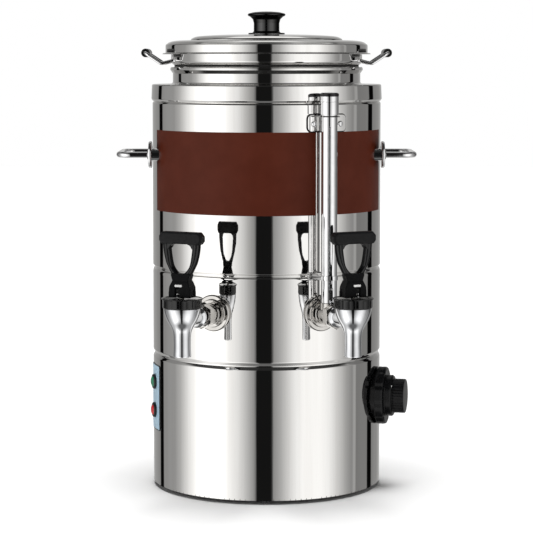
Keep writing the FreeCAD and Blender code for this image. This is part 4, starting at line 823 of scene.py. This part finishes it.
def guard_mesh():
    """Tube with a long sight slot that faces the front."""
    ro, ri = 7.75, 6.9
    face = -math.pi / 2  # the slot's middle
    angles = []
    n = 88
    for k in range(n + 1):
        angles.append(face + slot / 2 + (TAU - slot) * k / n)
    inner = [face - slot / 2 + slot * k / 8 for k in range(9)]
    zs = [197.6, 208.0, 366.0, 377.0]
    pts, faces = [], []

    def ring(r, z, aa):
        row = []
        for t in aa:
            row.append(len(pts))
            pts.append((r * math.cos(t), GY + r * math.sin(t), z))
        return row
    full = angles + inner[1:-1]
    rows_o = [ring(ro, z, full) for z in zs]
    rows_i = [ring(ri, z, full) for z in zs]
    m = len(full)
    for rows, flip in ((rows_o, False), (rows_i, True)):
        for i in range(3):
            for k in range(m):
                l = (k + 1) % m
                if i == 1 and k >= n:
                    continue
                f = [rows[i][k], rows[i][l], rows[i + 1][l], rows[i + 1][k]]
                faces.append(f[::-1] if flip else f)
    for k in range(m):
        l = (k + 1) % m
        faces.append([rows_o[0][l], rows_o[0][k], rows_i[0][k], rows_i[0][l]])
        faces.append([rows_o[3][k], rows_o[3][l], rows_i[3][l], rows_i[3][k]])
        if k >= n:
            faces.append([rows_o[1][k], rows_o[1][l], rows_i[1][l], rows_i[1][k]])
            faces.append([rows_o[2][l], rows_o[2][k], rows_i[2][k], rows_i[2][l]])
    for k in (0, n):
        faces.append([rows_o[1][k], rows_o[2][k], rows_i[2][k], rows_i[1][k]])
    return pts, faces


def at_gauge(geo):
    """From x = 0, y = GY to the gauge's place, keeping its own facing."""
    a = math.radians(26.8)
    return shift(geo, 132.5 * math.sin(a), -132.5 * math.cos(a) - GY, 0)


piece("gauge_guard", [at_gauge(guard_mesh())], "chrome", BODY, ["gauge_guard_tube"], sharp=50)
piece("gauge_sight_glass", [at_gauge(shift(lathe(rounded([(3.9, 190.0), (5.0, 190.0, 0.2), (5.0, 388.0, 0.2), (3.9, 388.0)], True), 48), 0, GY, 0))],
      "glass", BODY, ["gauge_glass"], sharp=50)
top = rounded([(5.0, 377.0), (8.95, 377.0, 0.35), (8.95, 389.3, 0.15), (8.8, 389.55, 0.1), (8.8, 389.9, 0.1), (8.95, 390.15, 0.15),
               (8.95, 394.7, 0.3), (7.95, 394.7), (7.95, 388.4), (5.0, 388.4)], True)
piece("gauge_sleeve", [at_gauge(shift(lathe(top, 72), 0, GY, 0))], "chrome", BODY, ["gauge_top_sleeve"], sharp=50)
cap = rounded([(0, 390.0), (7.9, 390.0), (7.9, 394.75), (9.1, 394.75, 0.3), (9.1, 397.2, 0.9), (7.4, 398.1, 0.8), (0, 398.45)])
piece("gauge_cap_black", [at_gauge(shift(lathe(cap, 64, False), 0, GY, 0))], "gloss", BODY, ["gauge_cap"], sharp=50)


def corner_edges(half, z0, z1, r):
    def top_edge(s):
        d = half - abs(s)
        return z1 if d >= r else z1 - r + math.sqrt(max(0.0, r * r - (r - d) ** 2))

    def low_edge(s):
        d = half - abs(s)
        return z0 if d >= r else z0 + r - math.sqrt(max(0.0, r * r - (r - d) ** 2))
    return top_edge, low_edge


ha = math.radians(10.6) * 115.0
te, le = corner_edges(ha, 360.8, 376.6, 4.0)
plate = about(wrapped(te, le, -ha, ha, 115.3, 116.4, 48, 6), 3.7)
shelf_out = []
for k in range(0, 25):
    t = math.pi + math.pi * k / 24
    shelf_out.append((10.5 * math.cos(t), GY + 10.5 * math.sin(t)))
shelf = [(-10.5, -115.2)] + shelf_out + [(10.5, -115.2)]


def slab_z(outline, z0, z1, slope=0.0):
    """Slab whose round front edge may slope back towards the top."""
    n = len(outline)
    ring = []
    for x, y in outline:
        d = math.hypot(x, y - GY)
        k = 1.0 - slope / d if y < GY + 2.0 else 1.0
        ring.append((x * k, GY + (y - GY) * k))
    pts = [(x, y, z0) for x, y in outline] + [(x, y, z1) for x, y in ring]
    faces = [list(range(n))[::-1], list(range(n, 2 * n))]
    for k in range(n):
        l = (k + 1) % n
        faces.append([k, l, l + n, k + n])
    return pts, faces


piece("gauge_wall_bracket", [plate, slab_z(shelf, 374.9, 376.2, 1.1)], "mirror", BODY, ["gauge_bracket"],
      azimuth=26.8, sharp=40, bevel=0.12, bevel_segments=1)
te, le = corner_edges(ha + 1.15, 359.7, 377.7, 5.0)
piece("bracket_gasket", [wrapped(te, le, -ha - 1.15, ha + 1.15, 115.0, 115.32, 48, 6)], "paint", BODY, (), azimuth=30.5, sharp=40)
heads = []
for a in (30.5 - 7.5, 30.5 + 7.1):
    prof = rounded([(0, 115.5), (2.9, 115.5), (2.9, 117.0, 0.4), (2.2, 118.0, 0.8), (0, 118.2)])
    heads.append(about(radial(lathe(prof, 40, False), 367.8), a))
piece("bracket_screw_heads", heads, "chrome", BODY, ["gauge_bracket_screws"], sharp=50)

strap_path = []
for k in range(0, 33):
    t = math.pi + math.pi * k / 32
    strap_path.append((8.15 * math.cos(t), GY + 8.15 * math.sin(t)))
outer = [(-8.15, -113.8)] + strap_path + [(8.15, -113.8)]


def band(path, half_w, z0, z1):
    pts, faces = [], []
    P = [Vector(p) for p in path]
    n = len(P)
    zc, zh = (z0 + z1) / 2, (z1 - z0) / 2
    sect = [(half_w, -zh + 0.2), (half_w, zh - 0.2), (half_w - 0.2, zh), (-half_w + 0.1, zh), (-half_w, zh - 0.1),
            (-half_w, -zh + 0.1), (-half_w + 0.1, -zh), (half_w - 0.2, -zh)]
    for i in range(n):
        t = (P[min(i + 1, n - 1)] - P[max(i - 1, 0)]).normalized()
        nn = Vector((t.y, -t.x))
        for w, dz in sect:
            q = P[i] + nn * w
            pts.append((q.x, q.y, zc + dz))
    m = len(sect)
    for i in range(n - 1):
        for k in range(m):
            l = (k + 1) % m
            faces.append([i * m + k, i * m + l, (i + 1) * m + l, (i + 1) * m + k])
    faces.append(list(range(m)))
    faces.append([(n - 1) * m + k for k in range(m)][::-1])
    return pts, faces


piece("gauge_clip", [band(outer, 0.4, 219.0, 223.6)], "chrome", BODY, ["gauge_strap"], azimuth=26.8, sharp=40)

# ------------------------------------------------------------------ thermostat
STAT = 77.0
bez = rounded([(4.2, 106.0), (24.0, 106.0), (25.2, 108.0, 1.0), (25.2, 118.2, 0.5), (4.2, 118.2)], True)
piece("thermostat_surround", [radial(lathe(bez, 128), 92.5)], "knob", BODY, ["thermostat_bezel"], azimuth=STAT, sharp=50)


def knob_shape(t, r, z):
    if z < 125.0 and r > 26.0:
        u = ((t - math.radians(9 + 18)) % (TAU / 10)) / (TAU / 10)
        d = abs(u - 0.5) * (TAU / 10) * r
        return r - 0.9 * math.exp(-(d / 2.6) ** 2)
    if 131.5 < z < 142.6 and r > 16.0:
        return r - 0.35 * (0.5 + 0.5 * math.cos(t * 36))
    return r


dial = ([(0, 118.6)] + rounded([(0, 118.6), (25.7, 118.6, 0.2), (25.7, 115.9, 0.2), (28.5, 115.9, 0.4), (29.0, 116.6, 0.4), (29.0, 122.3, 0.2), (28.3, 123.9, 1.4), (26.4, 124.6, 0.6), (21.0, 124.6, 0.3),
                              (20.6, 125.2, 0.3), (20.6, 130.0, 0.3), (19.4, 131.3, 0.7), (17.3, 131.5, 0.2)])
        + [(17.1, 132.0), (17.1, 134.5), (17.1, 137.5), (17.1, 140.5), (17.1, 141.8)]
        + rounded([(17.1, 142.0), (16.9, 143.0, 0.5), (15.4, 143.2, 0.5), (0, 143.55)]))
piece("thermostat_dial", [radial(lathe(dial, 360, False, knob_shape), 92.5)], "knob", "thermostat_knob", ["thermostat_knob"],
      azimuth=STAT, sharp=60)
dot = rounded([(0, 131.2), (1.0, 131.2, 0.2), (1.0, 131.62, 0.15), (0, 131.66)])
piece("dial_dot", [shift(radial(lathe(dot, 24, False), 92.5), -14.5, 0, 11.6)], "mark", "thermostat_knob", (),
      azimuth=STAT, sharp=50)

# ------------------------------------------------------------------ lamps
LAMP = -76.0
hl = math.radians(9.0) * 115.0
te, le = corner_edges(hl, 58.6, 124.4, 4.0)
te2, le2 = corner_edges(hl - 0.9, 59.5, 123.5, 3.3)
piece("lamp_plate_edge", [wrapped(te, le, -hl, hl, 115.0, 115.5, 56, 10)], "edge", BODY, ["lamp_panel"],
      azimuth=LAMP, sharp=40)
piece("lamp_plate_face", [wrapped(te2, le2, -hl + 0.9, hl - 2.6, 115.3, 115.62, 56, 10)], "blue", BODY, (),
      azimuth=LAMP, sharp=40)
rims = []
for z in (106.7, 78.0):
    prof = rounded([(5.4, 108), (6.0, 108), (6.0, 114.5), (7.6, 114.9, 0.2), (7.6, 117.3, 0.9), (6.5, 118.3, 0.5), (5.4, 118.0, 0.2)], True)
    rims.append(radial(lathe(prof, 56), z))
piece("lamp_rims", rims, "gloss", BODY, ["lamp_bezels"], azimuth=LAMP, sharp=50)
for name, z, mat in (("green", 106.7, "green"), ("red", 78.0, "red")):
    prof = rounded([(0, 110), (5.35, 110), (5.35, 117.4, 0.6), (4.6, 118.9, 1.6), (2.6, 119.7, 2.0), (0, 119.95)])
    piece(name + "_lamp_lens", [radial(lathe(prof, 48, False), z)], mat, BODY, [name + "_lamp"],
          azimuth=LAMP, sharp=50)

# ------------------------------------------------------------------ milk pot
pot = (rounded([(5.0, 190.0), (7.0, 190.0, 0.3), (7.0, 206.0), (91.0, 206.0, 8.0), (91.0, 423.9), (91.6, 423.92)])
       + arc(91.3, 428.9, 5.0, -79, 0, 16)
       + rounded([(96.3, 429.0), (96.3, 435.9, 0.3), (95.8, 436.4, 0.3), (95.3, 435.9, 0.3), (95.3, 429.0)])
       + arc(91.3, 428.9, 4.0, 0, -79, 10) + rounded([(91.8, 424.9), (90.0, 424.8, 0.3), (90.0, 207.0, 7.0), (5.0, 207.0)]))
piece("milk_pot_shell", [lathe(pot, 256)], "mirror", "milk_pot", ["milk_pot"], sharp=50)
# black ring under the pot's rim that stands in for the shaded gap between pot and neck: painted shade
seat = rounded([(91.0, 422.3), (92.9, 422.3, 0.3), (92.9, 424.3, 0.3), (91.0, 424.3)], True)
piece("pot_seat_shade_ring", [lathe(seat, 192)], "rubber", "milk_pot", (), sharp=50)
for sx, side in ((1, "right"), (-1, "left")):
    path = bent([(90.8 * sx, -30, 429.2), (104.9 * sx, -30, 425.6), (120.9 * sx, -30, 436.2), (120.9 * sx, 30, 436.2),
                 (104.9 * sx, 30, 425.6), (90.8 * sx, 30, 429.2)], [4.0, 4.5, 4.5, 4.0], 8)
    pads = []
    for a in (71.9, 108.1):
        # small round weld pad where the wire meets the wall
        prof = rounded([(0, 94.8), (2.4, 94.8), (2.4, 96.7, 0.3), (1.9, 97.5, 0.5), (1.0, 97.8, 0.4), (0, 97.8)])
        pads.append(about(radial(lathe(prof, 40, False), 428.6), a * sx))
    piece("pot_handle_wire_" + side, [sweep(path, 1.65, 20)] + pads, "chrome", "milk_pot", ["pot_handle_" + side],
          sharp=45)
sleeves = []
for sx in (1, -1):
    prof = rounded([(1.66, -22), (3.8, -22, 0.5), (4.35, -21.0, 0.7), (4.35, 21.0, 0.7), (3.8, 22, 0.5), (1.66, 22)], True)
    sleeves.append(moved(lathe(prof, 48), Matrix.Translation((120.9 * sx, 0, 436.2)) @ OUT))
piece("pot_handle_sleeves", sleeves, "grip", "milk_pot", ["pot_handle_grips"], sharp=50)

# ------------------------------------------------------------------ lid
shoulder = spline([(101.8, 441.8), (101.79, 442.7), (101.74, 443.4), (101.62, 444.0), (101.38, 444.45), (101.0, 444.82), (100.45, 445.22), (99.8, 445.65),
                   (98.9, 446.35), (97.9, 446.85), (96.8, 447.3), (95.2, 447.75), (93.2, 448.12), (90.8, 448.42), (87.5, 448.64), (83.0, 448.72), (77.2, 448.74)], 3)
riser = spline([(76.55, 448.77), (76.4, 449.12), (76.25, 449.6), (76.0, 450.0), (75.6, 450.4), (75.0, 450.78), (73.9, 451.36), (72.6, 451.98), (71.2, 452.42),
                (69.0, 452.82), (66.0, 453.1), (60.0, 453.55), (50.0, 454.07), (40.0, 454.39), (20.0, 454.6)], 3)
inside = [(r - 0.9 * min(1.0, max(0.0, (449.4 - z) / 6)), z - 0.9 * min(1.0, max(0.0, 1 - (446 - z) / 6))) for r, z in reversed(shoulder + riser)]
lid = (rounded([(93.9, 429.0), (94.9, 429.0, 0.2), (94.9, 436.5, 0.2), (97.5, 436.3, 0.2), (103.9, 434.95, 0.3), (104.75, 434.9, 0.2), (105.0, 435.15, 0.12),
                (104.3, 436.0, 0.2), (102.1, 436.35, 0.2), (101.8, 436.6, 0.15), (101.8, 441.8)])
       + shoulder + riser + [(3.1, 454.6), (3.1, 453.7)] + inside
       + rounded([(100.9, 441.8), (100.9, 437.5, 0.4), (93.9, 437.1, 0.4)]))
piece("lid_shell", [lathe(lid, 256)], "mirror", "lid", ["lid"], sharp=50)
fix = rounded([(0, 451.4), (3.2, 451.4), (4.2, 452.4), (4.2, 453.6), (3.1, 453.6), (3.1, 454.6), (18.1, 454.6, 0.15), (18.35, 455.0, 0.2),
               (18.1, 455.4, 0.15), (2.5, 455.4), (2.5, 461.6), (0, 461.6)])
piece("lid_knob_washer", [lathe(fix, 96, False)], "chrome", "lid", ["lid_knob_fixing"], sharp=50)
kn = ([(0, 461.6), (2.5, 461.6), (2.5, 455.4)]
      + rounded([(2.5, 455.4), (18.3, 455.4, 0.2), (18.5, 455.85, 0.25), (18.2, 456.3, 0.3), (14.4, 456.6, 0.8), (12.95, 458.0, 1.2),
                 (12.9, 466.2, 3.0), (14.0, 470.2, 3.0), (16.6, 472.6, 2.0), (18.5, 473.5, 0.8), (19.2, 474.5, 0.6), (18.4, 475.8, 0.9),
                 (13.5, 477.1, 6.0), (6.0, 477.8, 10.0), (0, 477.9)]))
piece("lid_knob_black", [lathe(kn, 96, False)], "shine", "lid", ["lid_knob"], sharp=50)

# ------------------------------------------------------------------ the nodes that stay
slots = {s["node"]: s["material_slot"] for s in frame["record"]["subparts"]}
for name, o in NODES.items():
    if o.hide_render:
        continue
    mat = MAT[SLOT_MATERIAL[slots[name]]]
    if name in ("tap_shank_nuts", "side_handle_nuts"):
        mat = MAT["zinc"]
    # the screws under the base take the near-black colour that keeps the gap beneath dark: painted shade
    if name == "base_screws":
        mat = MAT["oxide"]
    if not o.data.materials:
        o.data.materials.append(mat)
    for k in range(len(o.material_slots)):
        o.material_slots[k].link = "OBJECT"
        o.material_slots[k].material = mat

# ------------------------------------------------------------------ stage
def soft_floor():
    me = bpy.data.meshes.new("floor")
    s = 6.0
    me.from_pydata([(-s, -s, 0), (s, -s, 0), (s, s, 0), (-s, s, 0)], [], [(0, 1, 2, 3)])
    o = bpy.data.objects.new("floor", me)
    bpy.context.scene.collection.objects.link(o)
    m, nt, b = new_material("pale_floor")
    f = noise(nt, 3.0, 2.0)
    nt.links.new(two_tone(nt, f, (0.88, 0.88, 0.88), (0.90, 0.90, 0.90)), b.inputs["Base Color"])
    b.inputs["Roughness"].default_value = 0.55
    b.inputs["Specular IOR Level"].default_value = 0.2
    me.materials.append(m)
    o.visible_glossy = False
    return o


soft_floor()

world = bpy.data.worlds.new("studio")
bpy.context.scene.world = world
world.use_nodes = True
nt = world.node_tree
nt.nodes.clear()


def ramp(fac, stops, low=0.0, high=1.0):
    """Brightness against fac, which runs from low to high."""
    m = nt.nodes.new("ShaderNodeMapRange")
    m.inputs["From Min"].default_value = low
    m.inputs["From Max"].default_value = high
    nt.links.new(fac, m.inputs["Value"])
    r = nt.nodes.new("ShaderNodeValToRGB")
    nt.links.new(m.outputs["Result"], r.inputs["Fac"])
    els = r.color_ramp.elements
    r.color_ramp.interpolation = "LINEAR"
    els.remove(els[-1])
    for k, (at, v) in enumerate(stops):
        pos = (at - low) / (high - low)
        if k == 0:
            e = els[0]
            e.position = pos
        else:
            e = els.new(pos)
        e.color = (v, v * 0.997, v * 0.990, 1)
    return r.outputs["Color"]


def blend(kind, a, b, fac=None):
    m = nt.nodes.new("ShaderNodeMix")
    m.data_type = "RGBA"
    m.blend_type = kind
    m.clamp_result = False
    m.inputs["Factor"].default_value = 1.0
    if fac is not None:
        nt.links.new(fac, m.inputs["Factor"])
    nt.links.new(a, m.inputs["A"])
    nt.links.new(b, m.inputs["B"])
    return m.outputs["Result"]


out = nt.nodes.new("ShaderNodeOutputWorld")
bg = nt.nodes.new("ShaderNodeBackground")
back = nt.nodes.new("ShaderNodeBackground")
mix = nt.nodes.new("ShaderNodeMixShader")
lp = nt.nodes.new("ShaderNodeLightPath")
tc = nt.nodes.new("ShaderNodeTexCoord")
sep = nt.nodes.new("ShaderNodeSeparateXYZ")
nt.links.new(tc.outputs["Generated"], sep.inputs["Vector"])
neg = nt.nodes.new("ShaderNodeMath")
neg.operation = "MULTIPLY"
neg.inputs[1].default_value = -1.0
nt.links.new(sep.outputs["Y"], neg.inputs[0])
at = nt.nodes.new("ShaderNodeMath")
at.operation = "ARCTAN2"
nt.links.new(sep.outputs["X"], at.inputs[0])
nt.links.new(neg.outputs["Value"], at.inputs[1])
deg = nt.nodes.new("ShaderNodeMath")
deg.operation = "MULTIPLY"
deg.inputs[1].default_value = 180 / math.pi
nt.links.new(at.outputs["Value"], deg.inputs[0])
az_deg, up = deg.outputs["Value"], sep.outputs["Z"]


def lift(stops):
    """Stops by elevation in degrees, against the height of a unit direction."""
    return ramp(up, [(math.sin(math.radians(e)), v) for e, v in stops], -1.0, 1.0)


# walls of the studio by azimuth: black flags between large soft white panels, left and right
left = ramp(az_deg, [
    (-180, 0.60), (-158, 0.35), (-137.8, 0.265), (-136.9, 0.002), (-129.0, 0.002), (-128.1, 0.285), (-106, 0.33), (-97, 0.50), (-83, 1.0),
    (-72, 1.4), (-46, 1.5), (-38, 1.13), (-28, 0.86), (-19, 0.53), (-11.6, 0.28), (-10.3, 0.008)], -180.0, 180.0)
right = ramp(az_deg, [
    (5.4, 0.008), (6.6, 0.30), (14, 0.46), (26, 0.89), (37, 1.15), (56, 1.17), (66, 1.0), (78, 0.66), (89, 0.38), (96.5, 0.27), (98.6, 0.39),
    (101.6, 0.38), (102.6, 0.215), (122.8, 0.235), (123.7, 0.002), (132.4, 0.002), (133.4, 0.24), (152, 0.30), (180, 0.60)], -180.0, 180.0)
half = nt.nodes.new("ShaderNodeMath")
half.operation = "GREATER_THAN"
half.inputs[1].default_value = -2.0
nt.links.new(az_deg, half.inputs[0])
walls = blend("MIX", left, right, half.outputs["Value"])
# their reach in height: lower over the front than at the back, where a ceiling band closes them
front = lift([(-90, 0.0), (-64, 0.0), (-50, 1.0), (30, 1.0), (36, 0.03), (90, 0.03)])
rear = lift([(-90, 0.0), (-64, 0.0), (-50, 1.0), (10, 1.0), (15, 0.8), (40, 0.8), (46, 0.03), (90, 0.03)])
behind = ramp(az_deg, [(-180, 1.0), (-112, 1.0), (-100, 0.0), (100, 0.0), (112, 1.0)], -180.0, 180.0)
reach = blend("MIX", front, rear, behind)
band = blend("MULTIPLY", lift([(43, 0.0), (46, 1.0), (64, 1.0), (67, 0.0)]),
             ramp(az_deg, [(-180, 1.0), (-152, 1.0), (-147, 0.0), (147, 0.0), (152, 1.0)], -180.0, 180.0))
fill = blend("ADD", lift([(-90, 0.15), (-66, 0.16), (-60, 0.0), (34, 0.0), (38, 0.02), (90, 0.02)]),
             blend("MULTIPLY", lift([(-66, 0.0), (-60, 0.26), (-56, 0.32), (-44, 0.36), (-26, 0.10), (-12, 0.0)]),
                   ramp(az_deg, [(-180, 1.0), (-12.5, 1.0), (-10.5, 0.04), (6.5, 0.04), (8.5, 1.0), (180, 1.0)], -180.0, 180.0)))
light = blend("ADD", blend("ADD", blend("MULTIPLY", walls, reach), band), fill)
nt.links.new(light, bg.inputs["Color"])
bg.inputs["Strength"].default_value = 1.0
back.inputs["Color"].default_value = (1.0, 1.0, 1.0, 1)
back.inputs["Strength"].default_value = 1.0
nt.links.new(lp.outputs["Is Camera Ray"], mix.inputs["Fac"])
nt.links.new(bg.outputs["Background"], mix.inputs[1])
nt.links.new(back.outputs["Background"], mix.inputs[2])
nt.links.new(mix.outputs["Shader"], out.inputs["Surface"])

# broad soft lamp straight over the table: white floor, soft shadow round the foot
lamp = bpy.data.lights.new("overhead", "SUN")
lamp.energy = 3.5
lamp.angle = math.radians(32)
lamp_at = bpy.data.objects.new("overhead", lamp)
bpy.context.scene.collection.objects.link(lamp_at)
lamp_at.location = (0, 0, 2.5)
lamp_at.visible_glossy = False

# ------------------------------------------------------------------ camera
cam = bpy.data.cameras.new("camera")
cam.sensor_width = 36.0
cam.lens = 134.325
cam.shift_y = -0.12
cam.clip_start, cam.clip_end = 0.05, 50.0
camera = bpy.data.objects.new("camera", cam)
bpy.context.scene.collection.objects.link(camera)
camera.location = (-0.00009, -2.0115, 0.42844)
camera.rotation_euler = (math.radians(90) - 0.0712, 0, 0)
bpy.context.scene.camera = camera

view = bpy.context.scene.view_settings
view.view_transform = "Standard"
view.look = "None"
view.exposure = 0.0
view.gamma = 1.0
